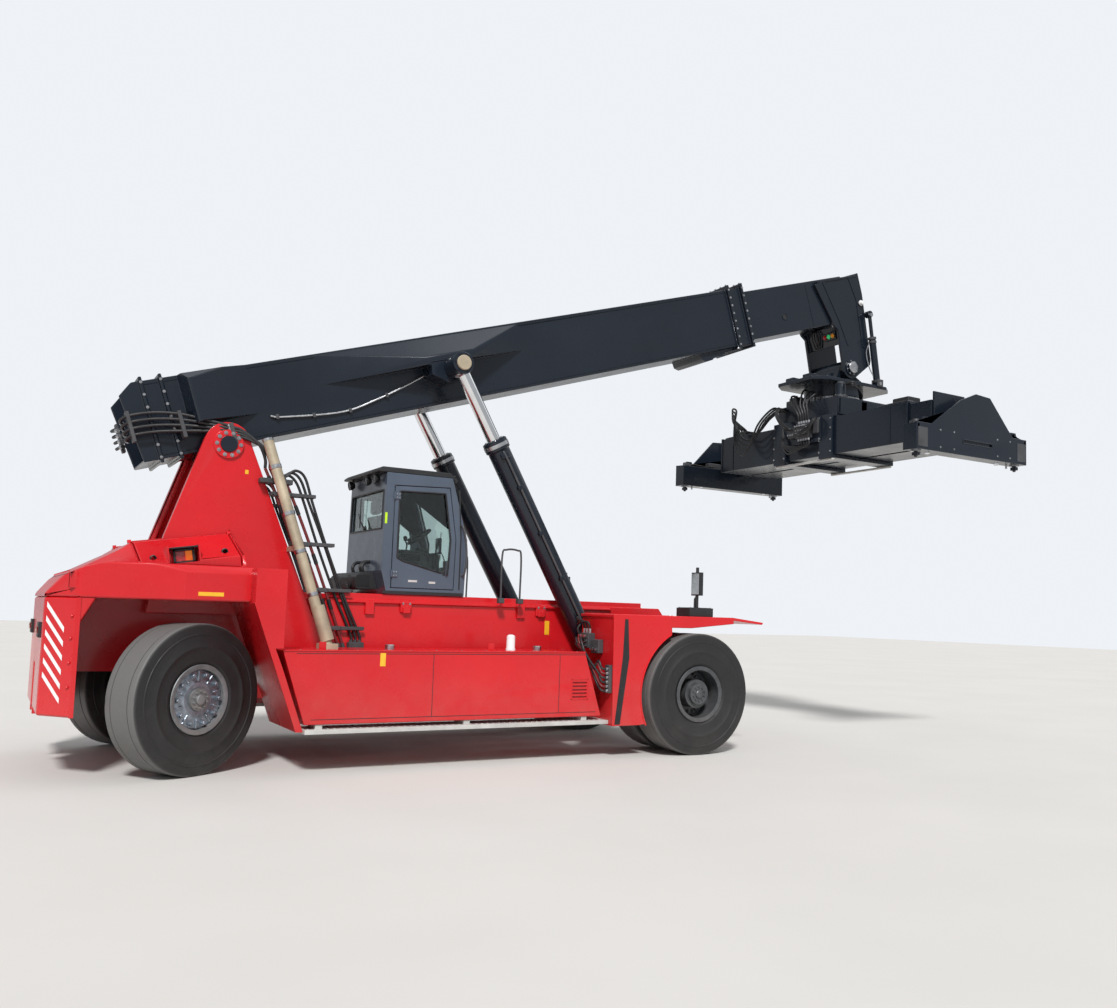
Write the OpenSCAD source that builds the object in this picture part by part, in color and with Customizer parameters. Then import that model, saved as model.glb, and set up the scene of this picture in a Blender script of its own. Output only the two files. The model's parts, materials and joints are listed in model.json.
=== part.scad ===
// Reach stacker with a telescopic boom and a 20 to 40 foot top spreader.
// Millimetres. X points forward, Y to the machine's left, Z up; Z = 0 is the ground.
// All X values below are measured from the drive axle; module world() moves the
// origin to the middle of the machine's length.

/* [Wheels] */
// Distance between drive axle and steer axle
wheelbase = 6500; // [6300:50:6700]
// Radius of a tyre over its tread
tyre_r = 815; // [780:5:830]
// Width of a tyre
tyre_w = 500; // [440:10:510]
// Radius of the bead seat on the rims
rim_r = 352; // [330:2:370]
// Outer face of the outer front tyre, from the middle of the machine
front_face_y = 2095; // [2060:5:2140]
// Gap between the twin front tyres
twin_gap = 90; // [60:5:120]
// Kingpin from the middle of the machine
kingpin_y = 1170; // [1150:5:1250]
// Middle of a steered tyre outboard of its kingpin
kingpin_offset = 220; // [200:5:230]
// Steering angle at rest, positive turns the wheels to the left
steer_rest = 31; // [0:1:35]
// Radius of the stub axles that carry the hubs
spindle_r = 120; // [90:5:130]

/* [Frame] */
// Outer face of the frame beams from the middle
frame_y = 740; // [700:5:755]
// Width of one frame beam
beam_w = 240; // [180:10:260]
// Height of the frame's top face
frame_top = 1960; // [1900:10:1980]
// Height of the frame's underside between the axles
frame_bottom = 620; // [560:10:700]
// Front end of the frame
frame_front = 560; // [450:10:620]
// Joint between frame and tower base, ahead of the steer axle
tower_ahead = 1750; // [1700:10:1800]
// Height of the slide rails for the cab
rail_h = 70; // [50:5:75]

/* [Tower] */
// Boom pivot ahead of the steer axle
pivot_ahead = 520; // [480:10:560]
// Height of the boom pivot
pivot_z = 3730; // [3700:10:3780]
// Outer face of a tower plate
tower_y = 700; // [680:5:710]
// Thickness of a tower plate
tower_t = 110; // [80:5:115]
// Radius of the tower's head round the pivot
tower_head_r = 265; // [240:5:275]
// Radius of the boom's pivot pin
pivot_pin_r = 95; // [80:5:110]

/* [Rear end] */
// Rear face of the counterweight behind the steer axle
rear_overhang = 1280; // [1250:10:1340]
// Underside of the counterweight
weight_bottom = 640; // [560:10:700]
// Top of the steered wheels' arches
arch_top = 1870; // [1840:5:1900]
// Top of the fender shelf
shelf_top = 2260; // [2230:5:2300]
// Crest of the rear hood at the rear end of the lids
hood_top = 2500; // [2480:5:2530]
// Slope of the rear hood, rising forwards
hood_deg = 9; // [7:0.5:10]
// Thickness of the hood lids and of the shelf's skin
panel_t = 40; // [30:5:50]
// Radius of the tow pin's hole
tow_r = 25; // [18:1:32]

/* [Side tanks] */
// Outer face of a side tank
tank_y = 1850; // [1800:10:1880]
// Inner face of a side tank
tank_in_y = 900; // [860:10:950]
// Top of the side tanks
tank_top = 1360; // [1300:10:1400]
// Underside of the side tanks
tank_bottom = 540; // [500:10:600]

/* [Cab] */
// Half the cab's width over its shell
cab_y = 735; // [700:5:745]
// Rear end of the cab ahead of the steer axle
cab_ahead = 2440; // [2400:10:2480]
// Length of the cab
cab_len = 1160; // [1120:10:1200]
// Top of the cab's shell
cab_top = 3590; // [3560:10:3600]
// Thickness of the cab's walls
cab_t = 50; // [40:5:60]
// Height of the cab's roof panel
roof_h = 70; // [60:5:80]
// Thickness of the window panes
glass_t = 8; // [6:1:12]

/* [Boom] */
// Angle of the boom at rest
boom_deg = 18; // [14:1:22]
// Height of the outer boom
boom_h = 930; // [900:10:960]
// Half width of the outer boom
boom_y = 450; // [430:5:465]
// Plate thickness of the outer boom
boom_t = 30; // [20:2:34]
// Front end of the outer boom from the pivot
boom_front = 8530; // [8400:10:8580]
// Rear end of the outer boom behind the pivot
boom_rear = 950; // [900:10:980]
// Running clearance round the inner boom
slide_gap = 35; // [25:5:40]
// Plate thickness of the inner boom
inner_t = 24; // [16:2:30]
// Rear end of the inner boom from the pivot at rest
inner_rear = 1850; // [1800:10:1950]
// Front end of the inner boom from the pivot at rest
inner_front = 10900; // [10800:10:11000]
// Lift cylinder eye along the boom from the pivot
eye_x = 3050; // [2950:10:3150]
// Lift cylinder eye above the boom's underside
eye_z = 420; // [380:10:460]
// Middle of a lift cylinder from the middle of the machine
lift_y = 935; // [925:5:945]
// Lift cylinder foot behind the drive axle
foot_x = -980; // [-1020:10:-970]
// Height of the lift cylinder foot
foot_z = 1190; // [1170:10:1230]
// Outer radius of a lift cylinder barrel
barrel_r = 150; // [130:5:150]
// Radius of a lift cylinder rod
lift_rod_r = 92; // [80:2:100]
// Length of a lift cylinder barrel from its foot pin to its gland
barrel_len = 3385; // [3300:5:3385]

/* [Head and spreader] */
// Head pin along the boom from the pivot at rest
head_x = 10630; // [10560:10:10700]
// Head pin below the boom's underside
head_drop = 750; // [720:10:780]
// Half width of the boom head over its cheek plates
head_y = 440; // [425:5:450]
// Radius of the head pin
head_pin_r = 70; // [55:5:80]
// Drop from the head pin to the underside of the end beams
spreader_drop = 1890; // [1850:10:1950]
// Distance between twistlocks along the container at rest
lock_pitch_y = 5853; // [5853:1:5900]
// Distance between twistlocks across the container
lock_pitch_x = 2259; // [2240:1:2280]
// Half width of an end beam along X
end_beam_x = 1260; // [1240:5:1290]
// Width of an end beam along Y
end_beam_w = 270; // [240:5:290]
// Height of an end beam
end_beam_h = 390; // [360:10:410]
// Half length of the spreader's main beam
main_beam_y = 2350; // [2300:10:2400]
// Height of a main beam tube
tube_h = 640; // [600:10:660]
// Width of a main beam tube
tube_w = 640; // [600:10:660]
// Wall of a main beam tube
tube_t = 25; // [16:1:32]
// Running clearance round a telescopic arm
arm_gap = 12; // [8:1:18]
// Radius of a lifting lug's hole
lug_r = 30; // [20:1:36]

/* [Hidden] */
$fn = 48;

body_red = [0.78, 0.16, 0.10];
boom_grey = [0.22, 0.25, 0.30];
steel_grey = [0.45, 0.47, 0.50];
black = [0.07, 0.07, 0.08];
cab_grey = [0.45, 0.52, 0.60];
glass_tint = [0.35, 0.42, 0.45, 0.6];
chrome = [0.80, 0.82, 0.84];
beige = [0.70, 0.64, 0.54];
light_grey = [0.75, 0.75, 0.73];

// Clearance of a pin or shaft in its seat
fit = 0.3;
rear_axle_x = -wheelbase;
tower_front = rear_axle_x + tower_ahead;
pivot_x = rear_axle_x + pivot_ahead;
rear_x = rear_axle_x - rear_overhang;
cab_rear = rear_axle_x + cab_ahead;
cab_front = cab_rear + cab_len;
twin_in_y = front_face_y - 2 * tyre_w - twin_gap;
cab_floor = frame_top + rail_h + fit;
head_pin_z = pivot_z + head_x * sin(boom_deg) - head_drop * cos(boom_deg);
head_pin_x = pivot_x + head_x * cos(boom_deg) + head_drop * sin(boom_deg);
beam_z = head_pin_z - spreader_drop;
x_mid = (rear_x + head_pin_x + end_beam_x) / 2;
eye_wx = pivot_x + eye_x * cos(boom_deg) - eye_z * sin(boom_deg);
eye_wz = pivot_z + eye_x * sin(boom_deg) + eye_z * cos(boom_deg);
lift_len = norm([eye_wx - foot_x, eye_wz - foot_z]);
lift_tilt = atan2(foot_x - eye_wx, eye_wz - foot_z);

// Whole machine, with the origin under the middle of its length
module world() translate([-x_mid, 0, 0]) children();

// Children drawn on the left side (s = 1) or mirrored to the right side (s = -1)
module on_side(s) mirror([0, s < 0 ? 1 : 0, 0]) children();
module both_sides() { on_side(1) children(); on_side(-1) children(); }

// Solids from an outline: XZ outline along Y, YZ outline along X, XY outline along Z
module prism_y(outline, y0, y1)
    translate([0, y1, 0]) rotate([90, 0, 0]) linear_extrude(y1 - y0) polygon(outline);
module prism_x(outline, x0, x1)
    translate([x0, 0, 0]) rotate([90, 0, 90]) linear_extrude(x1 - x0) polygon(outline);
module prism_z(outline, z0, z1)
    translate([0, 0, z0]) linear_extrude(z1 - z0) polygon(outline);
module box(low, high) translate(low) cube(high - low);

// Round bar along Y at (x, z)
module bar_y(x, z, r, y0, y1)
    translate([x, y1, z]) rotate([90, 0, 0]) cylinder(r = r, h = y1 - y0);

// Round bar along X at (y, z)
module bar_x(y, z, r, x0, x1)
    translate([x0, y, z]) rotate([0, 90, 0]) cylinder(r = r, h = x1 - x0);

// Round bar from point a to point b
module bar(a, b, r) {
    d = b - a;
    translate(a) rotate([0, acos(d.z / norm(d)), atan2(d.y, d.x)])
        cylinder(r = r, h = norm(d));
}

// Points of an arc round centre c from angle a0 to angle a1 in n steps
function arc(c, r, a0, a1, n) =
    [for (i = [0 : n]) let (a = a0 + (a1 - a0) * i / n) c + r * [cos(a), sin(a)]];

// A convex outline, given anticlockwise, with every edge moved inwards by w
function inset(p, w) = [for (i = [0 : len(p) - 1]) let (
    a = p[(i + len(p) - 1) % len(p)], b = p[i], c = p[(i + 1) % len(p)],
    u = (b - a) / norm(b - a), v = (c - b) / norm(c - b),
    n = [-u.y, u.x], m = [-v.y, v.x])
    b + w * (n + m) / (1 + n * m)];

// Boom's own frame: X along the boom from the pivot pin, Z up from its underside
module on_boom() world() translate([pivot_x, 0, pivot_z]) rotate([0, -boom_deg, 0]) children();

// Frame of the lift cylinder on side s: Z from the foot pin to the eye
module on_lift(s) world() translate([foot_x, s * lift_y, foot_z]) rotate([0, -lift_tilt, 0])
    children();

// Frame of the steered wheel on side s, on its kingpin at axle height
module on_kingpin(s) world() translate([rear_axle_x, s * kingpin_y, tyre_r])
    rotate([0, 0, steer_rest]) children();

// Frame of the spreader: on the head pin's vertical, Z = 0 at the end beams' underside
module on_spreader() world() translate([head_pin_x, 0, beam_z]) children();

// Chassis
foot_boss_r = 150;
beam_outline = [
    [tower_front, frame_bottom], [-900, frame_bottom], [-560, 1040], [frame_front, 1040],
    [frame_front, 1500], [200, frame_top], [tower_front, frame_top]];
cross_bars = [["x", "z0", "z1"], [tower_front + 150, 640, 850], [tower_front + 1100, 640, 850],
    [-2650, 640, 900], [-1500, 1100, 1500], [frame_front - 140, 1080, 1450]];

module main_frame() world() color(body_red) {
    both_sides() {
        prism_y(beam_outline, frame_y - beam_w, frame_y);
        // slide rails for the cab
        box([tower_front + 30, frame_y - 110, frame_top], [-100, frame_y - 30, frame_top + rail_h]);
        for (x = [tower_front + 550, foot_x - 1110])
            box([x - 55, frame_y - 1, frame_top - 190], [x + 55, frame_y + 45, frame_top - 50]);
        box([tower_front + 150, frame_y - 1, frame_top - 50], [-650, frame_y + 40, frame_top - 20]);
        // boss and stub pin of the lift cylinder
        bar_y(foot_x, foot_z, foot_boss_r, frame_y, lift_y - barrel_r - 10);
        bar_y(foot_x, foot_z, 80, frame_y, lift_y + barrel_r + 15);
    }
    for (i = [1 : len(cross_bars) - 1]) let (c = cross_bars[i])
        box([c[0], -frame_y + beam_w, c[1]], [c[0] + 120, frame_y - beam_w, c[2]]);
}

tower_base_z = 740;
wheel_clear_z = 2 * tyre_r + 90;
cover_front = tower_front - 620;
cover_rear = pivot_x - 640;
cover_top = 2550;
tower_outline = concat(
    [[tower_front, tower_base_z], [tower_front, 1400], [tower_front - 500, 2600]],
    arc([pivot_x, pivot_z], tower_head_r, 5, 165, 10),
    [[pivot_x - 640, 2600], [pivot_x - 780, wheel_clear_z], [rear_axle_x + 1000, wheel_clear_z],
    [rear_axle_x + 1000, tower_base_z]]);

// Flange along the rear edge of each tower plate, clear of the boom between them
rear_flange = [
    [cover_rear, 2520], pivot_at(190, 0), pivot_at(190, 40), [cover_rear + 42, 2520]];
function pivot_at(a, d) =
    [pivot_x, pivot_z] + tower_head_r * [cos(a), sin(a)] + [d, 0];

module tower() world() color(body_red) {
    difference() {
        union() {
            both_sides() prism_y(tower_outline, tower_y - tower_t, tower_y);
            both_sides() prism_y(rear_flange, boom_y + 60, tower_y - tower_t + 1);
            // base box between the plates
            box([rear_axle_x + 1000, -tower_y, tower_base_z], [tower_front, tower_y, wheel_clear_z]);
            // front, rear and top cover plates below the boom's end
            box([cover_front - 50, -tower_y, wheel_clear_z], [cover_front, tower_y, cover_top]);
            box([cover_rear, -tower_y, 2200], [cover_rear + 40, tower_y, cover_top]);
            box([cover_rear, -tower_y, cover_top - 40], [cover_front, tower_y, cover_top]);
            both_sides() bar_y(pivot_x, pivot_z, 170, tower_y - tower_t, tower_y + 30);
        }
        both_sides() bar_y(pivot_x, pivot_z, pivot_pin_r + fit, tower_y - tower_t - 10, tower_y + 40);
    }
}

// Rear frame: a trough between the steered wheels that holds the engine
trough_y = 420;
trough_t = 50;
trough_bottom = 1050;
weight_front = rear_axle_x - 970;

module rear_frame() world() color(body_red) difference() {
    box([weight_front, -trough_y, trough_bottom], [rear_axle_x + 1000, trough_y, arch_top]);
    box([weight_front + 150, -trough_y + trough_t, trough_bottom + trough_t],
        [rear_axle_x + 900, trough_y - trough_t, arch_top + 1]);
}

engine_rear = rear_axle_x - 780;
engine_top = 2180;
module engine_block() world() color(steel_grey)
    box([engine_rear, -330, trough_bottom + trough_t], [engine_rear + 1300, 330, engine_top]);

// Rear end, seen from above: flat back, slanted corners, sides that widen forwards
corner_y = 1460;
rear_flat_y = 1100;
tow_depth = weight_front - rear_x - 120;
weight_plan = [
    [weight_front, -corner_y], [weight_front, corner_y], [weight_front - 20, corner_y],
    [rear_x, rear_flat_y], [rear_x, -rear_flat_y], [weight_front - 20, -corner_y]];

module counterweight() world() color(body_red) difference() {
    union() {
        prism_z(weight_plan, weight_bottom, arch_top);
        both_sides() prism_y([[rear_x, weight_bottom - 60], [rear_x + 60, weight_bottom - 60],
            [rear_x + 120, weight_bottom], [rear_x, weight_bottom]], 200, 260);
    }
    // recess, open below, round the two jaws of the tow hitch, and their pin hole
    difference() {
        box([rear_x - 1, -160, weight_bottom - 1], [rear_x + tow_depth, 160, 1120]);
        for (z = [800, 900]) box([rear_x + 20, -90, z], [rear_x + tow_depth, 90, z + 45]);
    }
    translate([rear_x + 80, 0, 790]) cylinder(r = tow_r, h = 200);
}

// Deck and fender shelf: slopes down to the rear, with eased outer edges
deck_front = rear_axle_x + 720;
side_y = 1650;
deck_plan = [
    [rear_x, -rear_flat_y], [weight_front - 20, -corner_y], [rear_axle_x, -side_y],
    [deck_front, -side_y], [deck_front, side_y], [rear_axle_x, side_y],
    [weight_front - 20, corner_y], [rear_x, rear_flat_y]];
deck_side = [
    [rear_x, arch_top], [deck_front, arch_top], [deck_front, shelf_top],
    [rear_x + 600, shelf_top], [rear_x + 360, shelf_top - 55], [rear_x + 150, shelf_top - 160],
    [rear_x, arch_top + 40]];
deck_end = [
    [-side_y, arch_top], [side_y, arch_top], [side_y, shelf_top - 70], [side_y - 60, shelf_top],
    [60 - side_y, shelf_top], [-side_y, shelf_top - 70]];

// Hood frame: X along the sloping crest from the rear end of the lids, Z = 0 at the crest
lid_in_y = tower_y + 20;
lid_out_y = 1400;
lid_rear = rear_axle_x - 450;
lid_len = 1010;
lid_front = lid_rear + lid_len * cos(hood_deg);
lid_gap = 6;
lid_drop = 270;
hood_side = 520;
crest_front = pivot_x - 820;
hinge_lid_y = lid_in_y + 25;
hinge_lid_z = 5;
lid_pin_r = 8;
module on_hood() world() translate([lid_rear, 0, hood_top]) rotate([0, -hood_deg, 0]) children();

// End wall beside a lid, and the whole hood behind the lids
gable = [[lid_in_y, -hood_side], [lid_out_y + 30, -hood_side], [lid_out_y + 30, -lid_drop],
    [lid_in_y + 165, 0], [lid_in_y, 0]];
hood_end = [[-lid_out_y - 30, -hood_side], [lid_out_y + 30, -hood_side], [lid_out_y + 30, -lid_drop],
    [lid_in_y + 165, 0], [-lid_in_y - 165, 0], [-lid_out_y - 30, -lid_drop]];
hood_rear = [[rear_x + 200, arch_top + 100], [engine_rear - 60, arch_top + 100],
    [engine_rear - 60, engine_top + 25], [crest_front, engine_top + 25], [crest_front, hood_top + 60],
    [lid_rear, hood_top + 10], [rear_x + 690, hood_top - 90], [rear_x + 200, shelf_top - 130]];

module rear_deck() {
    world() color(body_red) {
        difference() {
            intersection() {
                prism_z(deck_plan, arch_top, shelf_top);
                prism_y(deck_side, -side_y, side_y);
                prism_x(deck_end, rear_x, deck_front);
            }
            // engine bay between the tower plates, and a bay below each lid
            box([engine_rear - 50, -trough_y, arch_top - 1], [deck_front + 1, trough_y, shelf_top + 1]);
            both_sides() box([lid_rear + 60, lid_in_y + panel_t, arch_top + panel_t],
                [lid_front, lid_out_y - panel_t, shelf_top + 1]);
            // the tower's plates pass through
            box([crest_front + 10, -tower_y - 2, arch_top - 1],
                [deck_front + 1, tower_y + 2, shelf_top + 1]);
        }
        // gusset in the rear corner of each wheel arch
        both_sides() intersection() {
            prism_z([[weight_front + fit, corner_y - 70], [rear_axle_x, side_y - 70],
                [rear_axle_x, side_y - 10], [weight_front + fit, corner_y - 10]], arch_top - 400, arch_top + 5);
            prism_y([[weight_front + fit, arch_top - 290], [weight_front + 150, arch_top + 5],
                [weight_front + fit, arch_top + 5]], 1000, side_y);
        }
    }
    color(body_red) {
        difference() {
            union() {
                // hood behind the lids and behind the tower
                intersection() {
                    on_hood() {
                        prism_x(hood_end, -900, -lid_gap);
                        prism_x([[-lid_in_y, -hood_side], [lid_in_y, -hood_side], [lid_in_y, 0],
                            [-lid_in_y, 0]], -lid_gap - 1, 400);
                    }
                    world() prism_y(hood_rear, -lid_out_y - 40, lid_out_y + 40);
                }
                // walls at both ends of the lids with the bearings of their pins
                on_hood() both_sides() {
                    for (x = [-panel_t - lid_gap, lid_len + lid_gap]) {
                        prism_x(gable, x, x + panel_t);
                        bar_x(hinge_lid_y, hinge_lid_z, 30, x, x + panel_t);
                    }
                    box([-lid_gap - 1, lid_in_y, -130], [lid_len + lid_gap + 1, lid_in_y + 20, -25]);
                }
            }
            on_hood() both_sides() bar_x(hinge_lid_y, hinge_lid_z, lid_pin_r + fit,
                -panel_t - lid_gap - 2, lid_len + lid_gap + panel_t + 2);
        }
    }
}

// Lid over one half of the hood, hinged along its inner edge; it ends on the shelf
lid_edge_y = lid_in_y + 30;
lid_outline = [
    [lid_edge_y, -panel_t], [lid_edge_y + 95, -panel_t], [lid_out_y - panel_t, -lid_drop - 20],
    [lid_out_y - panel_t, -hood_side], [lid_out_y, -hood_side], [lid_out_y, -lid_drop],
    [lid_edge_y + 105, 0], [lid_edge_y, 0]];

module hood_lid(s) {
    color(body_red) difference() {
        on_hood() on_side(s) {
            difference() {
                union() {
                    prism_x(lid_outline, 0, lid_len);
                    // pocket of the work lamp
                    box([260, 1150, -310], [600, lid_out_y - 5, -100]);
                }
                box([280, 1180, -288], [580, lid_out_y + 1, -40]);
                // hand holes
                for (x = [130, 870]) bar_y(x, -205, 24, 1100, lid_out_y + 1);
            }
            // hinge barrel along the inner edge, its pin in the bearings at both ends
            bar_x(hinge_lid_y, hinge_lid_z, 14, 0, lid_len);
            bar_x(hinge_lid_y, hinge_lid_z, lid_pin_r, -panel_t - lid_gap, lid_len + panel_t + lid_gap);
        }
        world() box([lid_rear - 10, -side_y, arch_top], [lid_front + 200, side_y, shelf_top + fit]);
    }
    color(black) on_hood() on_side(s) box([330, 1179, -289], [540, 1330, -140]);
}
module hood_lid_right() hood_lid(-1);
module hood_lid_left() hood_lid(1);

// Axles
module drive_axle() world() {
    color(steel_grey) {
        bar_y(0, tyre_r, 200, -twin_in_y + 30, twin_in_y - 30);
        bar_y(0, tyre_r, spindle_r, -front_face_y + 200, front_face_y - 200);
        translate([0, 0, tyre_r]) rotate([90, 0, 0]) intersection() {
            sphere(r = 380);
            cylinder(r = 380, h = 560, center = true);
        }
        both_sides() {
            bar_y(0, tyre_r, 310, frame_y + 10, twin_in_y - 60);
            box([-300, frame_y - beam_w, tyre_r + 100], [300, frame_y, 1040]);
        }
        // gearbox and drive shaft
        box([tower_front + 450, -340, 850], [tower_front + 1450, 340, 1600]);
        bar([tower_front + 1450, 0, 1050], [-360, 0, tyre_r + 20], 60);
    }
}

axle_end_y = kingpin_y - 130;
axle_top = 1020;
axle_bottom = 610;
// Seen from above, the beam narrows towards the kingpins, out of the tyres' way
axle_taper = kingpin_y - 340;
axle_plan = [[-200, -axle_taper], [-65, -axle_end_y], [65, -axle_end_y], [200, -axle_taper],
    [200, axle_taper], [65, axle_end_y], [-65, axle_end_y], [-200, axle_taper]];

module steer_axle() world() color(steel_grey) difference() {
    union() {
        intersection() {
            prism_x([[-axle_end_y, 700], [-500, axle_bottom], [500, axle_bottom],
                [axle_end_y, 700], [axle_end_y, 930], [500, axle_top], [-500, axle_top],
                [-axle_end_y, 930]], rear_axle_x - 220, rear_axle_x + 220);
            prism_z([for (c = axle_plan) [rear_axle_x + c.x, c.y]], axle_bottom, axle_top);
        }
        both_sides() translate([rear_axle_x, kingpin_y, 700]) cylinder(r = 130, h = 230);
        // trunnion block below the rear frame, and the steering cylinder
        box([rear_axle_x - 260, -300, axle_top], [rear_axle_x + 260, 300, trough_bottom]);
        bar_y(rear_axle_x + 290, tyre_r, 85, -520, 520);
        bar_y(rear_axle_x + 290, tyre_r, 45, -700, 700);
        both_sides() box([rear_axle_x + 200, 380, tyre_r - 90], [rear_axle_x + 290, 460, tyre_r + 90]);
    }
    both_sides() translate([rear_axle_x, kingpin_y, 600]) cylinder(r = 55 + fit, h = 430);
}

// Side tanks with slanted front ends, and the step along their foot
tank_rear = rear_axle_x + 1270;
tank_front = foot_x - 440;
tank_outline = [[tank_rear, tank_bottom], [tank_front, tank_bottom], [tank_front - 260, tank_top],
    [tank_rear - 270, tank_top]];

module side_tank(s) world() color(body_red) on_side(s) {
    difference() {
        prism_y(tank_outline, tank_in_y, tank_y);
        // air intake in the slanted end
        for (i = [0 : 4]) box([tank_front - 430, tank_y - 20, 780 + 45 * i],
            [tank_front - 220, tank_y + 1, 800 + 45 * i]);
    }
    // hangers to the frame
    for (x = [tank_rear + 780, tank_front - 880]) box([x, frame_y, 900], [x + 120, tank_in_y, 1250]);
}
module tank_right() side_tank(-1);
module tank_left() side_tank(1);

walk_z = 440;
module walkways() world() color(light_grey) both_sides() {
    box([tank_rear, 1480, walk_z], [fender_rear - 2, tank_y + 50, walk_z + 50]);
    for (x = [tank_rear + 130, (tank_rear + tank_front) / 2, tank_front - 280])
        box([x, 1520, walk_z + 50], [x + 80, tank_y - 20, tank_bottom]);
}

// Front fenders over the drive wheels
fender_y = 2000;
fender_in_y = 1130;
fender_top = 1860;
fender_rear = -1330;
fender_side = concat(
    [[fender_rear - 20, fender_top], [fender_rear, 420], [-950, 420]],
    arc([0, tyre_r], tyre_r + 90, 205, 118, 8),
    [[-425, fender_top - 160], [-100, fender_top - 160], [620, fender_top - 90],
    [620, fender_top]]);

module front_fenders() world() color(body_red) both_sides() {
    prism_y(fender_side, fender_y - 30, fender_y);
    box([fender_rear - 20, fender_in_y, fender_top - 40], [620, fender_y - 30, fender_top]);
    box([fender_rear, fender_in_y, 420], [fender_rear + 40, fender_y - 30, fender_top - 40]);
    // outriggers that carry the fender on the frame
    for (x = [-420, 80])
        box([x, frame_y, fender_top - 130], [x + 90, fender_in_y + 500, fender_top - 40]);
    box([fender_rear + 40, fender_in_y, fender_top - 250],
        [fender_rear + 80, fender_in_y + 60, fender_top - 40]);
}

// Mudguard plates: the slanted wall ahead of each steered wheel, and the front flaps
module mud_plates() world() both_sides() {
    color(body_red) {
        prism_y([[deck_front - 60, arch_top], [deck_front + 450, 470], [deck_front + 530, 470],
            [deck_front + 280, 1160], [deck_front + 60, 1700], [deck_front, arch_top]], tower_y, 1900);
        prism_y([[deck_front - 20, arch_top], [deck_front + 280, arch_top], [deck_front + 280, 1380],
            [deck_front + 180, 1380]], 1860, 1900);
        box([deck_front - 50, side_y, arch_top], [deck_front + 280, 1900, 2240]);
    }
    color(black) prism_y([[620, fender_top], [620, fender_top - 40], [1150, fender_top - 90],
        [1170, fender_top - 60]], fender_in_y, fender_y - 20);
}

// Exhaust stack beside the tower, and the bundle of hydraulic pipes
exhaust_x = rear_axle_x + 1640;
module exhaust_pipe() world() color(beige) difference() {
    union() {
        bar([exhaust_x, -1300, 1400], [exhaust_x - 720, -900, 3810], 62);
        box([exhaust_x - 100, -1400, tank_top], [exhaust_x + 100, -1200, tank_top + 60]);
        bar([exhaust_x, -1300, tank_top + 90], [exhaust_x - 120, -1233, 1850], 80);
        box([exhaust_x - 380, -1100, 2500], [exhaust_x - 320, -tower_y, 2560]);
    }
    bar([exhaust_x - 540, -1000, 3208], [exhaust_x - 730, -894, 3845], 50);
}

pipe_ends = [[pivot_x + 420, 3480], [tower_front - 420, 2600], [tower_front + 60, 1390]];
pipe_pitch = 55;

module tower_pipes() world() color(steel_grey) both_sides() {
    for (i = [0 : 3], k = [0, 1]) let (
        a = pipe_ends[k], b = pipe_ends[k + 1], dx = pipe_pitch * i, y = tower_y + 60 + 8 * i)
        bar([a.x + dx, y, a.y], [b.x + dx, y, b.y], 19);
    // clamps on the tower, the lower one over the bend
    for (c = [[pivot_x + 500, 3150], [pipe_ends[1].x - 50, pipe_ends[1].y - 30]])
        box([c.x, tower_y, c.y], [c.x + 260, tower_y + 110, c.y + 60]);
}

// Lamps and mirrors on the front fenders
module work_lamps() world() both_sides() {
    color(black) {
        box([-100, 1620, fender_top], [300, 1940, fender_top + 120]);
        translate([60, 1880, fender_top + 120]) cylinder(r = 22, h = 560);
        translate([60, 1880, fender_top + 450]) cube([60, 200, 320], center = true);
    }
    color(light_grey) translate([300, 1780, fender_top + 60]) rotate([0, 90, 0])
        cylinder(r = 52, h = 40);
}

// Cab: profile of its shell seen from the side, anticlockwise
cab_outline = [
    [cab_rear + 80, cab_floor], [cab_front - 20, cab_floor], [cab_front, 2780],
    [cab_front - 240, cab_top], [cab_rear + 20, cab_top], [cab_rear, 2330]];
cab_inside = inset(cab_outline, cab_t);
door_rear = cab_rear + 130;
door_front = cab_front - 210;
door_low = 2110;
door_high = cab_top - 130;
door_gap = 8;
window_low = 2870;
sky_rear = cab_rear + 250;
sky_front = cab_front - 420;

module cab_shell() world() color(cab_grey) difference() {
    prism_y(cab_outline, -cab_y, cab_y);
    prism_y(cab_inside, -cab_y + cab_t, cab_y - cab_t);
    both_sides() prism_y([[door_rear, door_low], [door_front + 40, door_low],
        [door_front + 50, 2780], [door_front - 60, door_high], [door_rear, door_high - 30]],
        cab_y - cab_t - 1, cab_y + 1);
    // windscreen and rear window
    box([cab_front - 400, -cab_y + 90, 2420], [cab_front + 10, cab_y - 90, cab_top - 90]);
    box([cab_rear - 10, -cab_y + 90, window_low], [cab_rear + 100, cab_y - 90, cab_top - 220]);
    // roof window
    box([sky_rear, -cab_y + 200, cab_top - 300], [sky_front, cab_y - 200, cab_top + 10]);
}

roof_outline = [
    [cab_rear - 100, cab_top], [cab_front - 240, cab_top], [cab_front - 185, cab_top - 60],
    [cab_front - 165, cab_top - 20], [cab_front - 270, cab_top + roof_h],
    [cab_rear - 40, cab_top + roof_h], [cab_rear - 100, cab_top + 25]];
module cab_roof() world() color(black) difference() {
    prism_y(roof_outline, -cab_y + 10, cab_y - 10);
    box([sky_rear + 50, -cab_y + 250, cab_top - 300], [sky_front - 50, cab_y - 250, cab_top + 200]);
}

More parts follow.
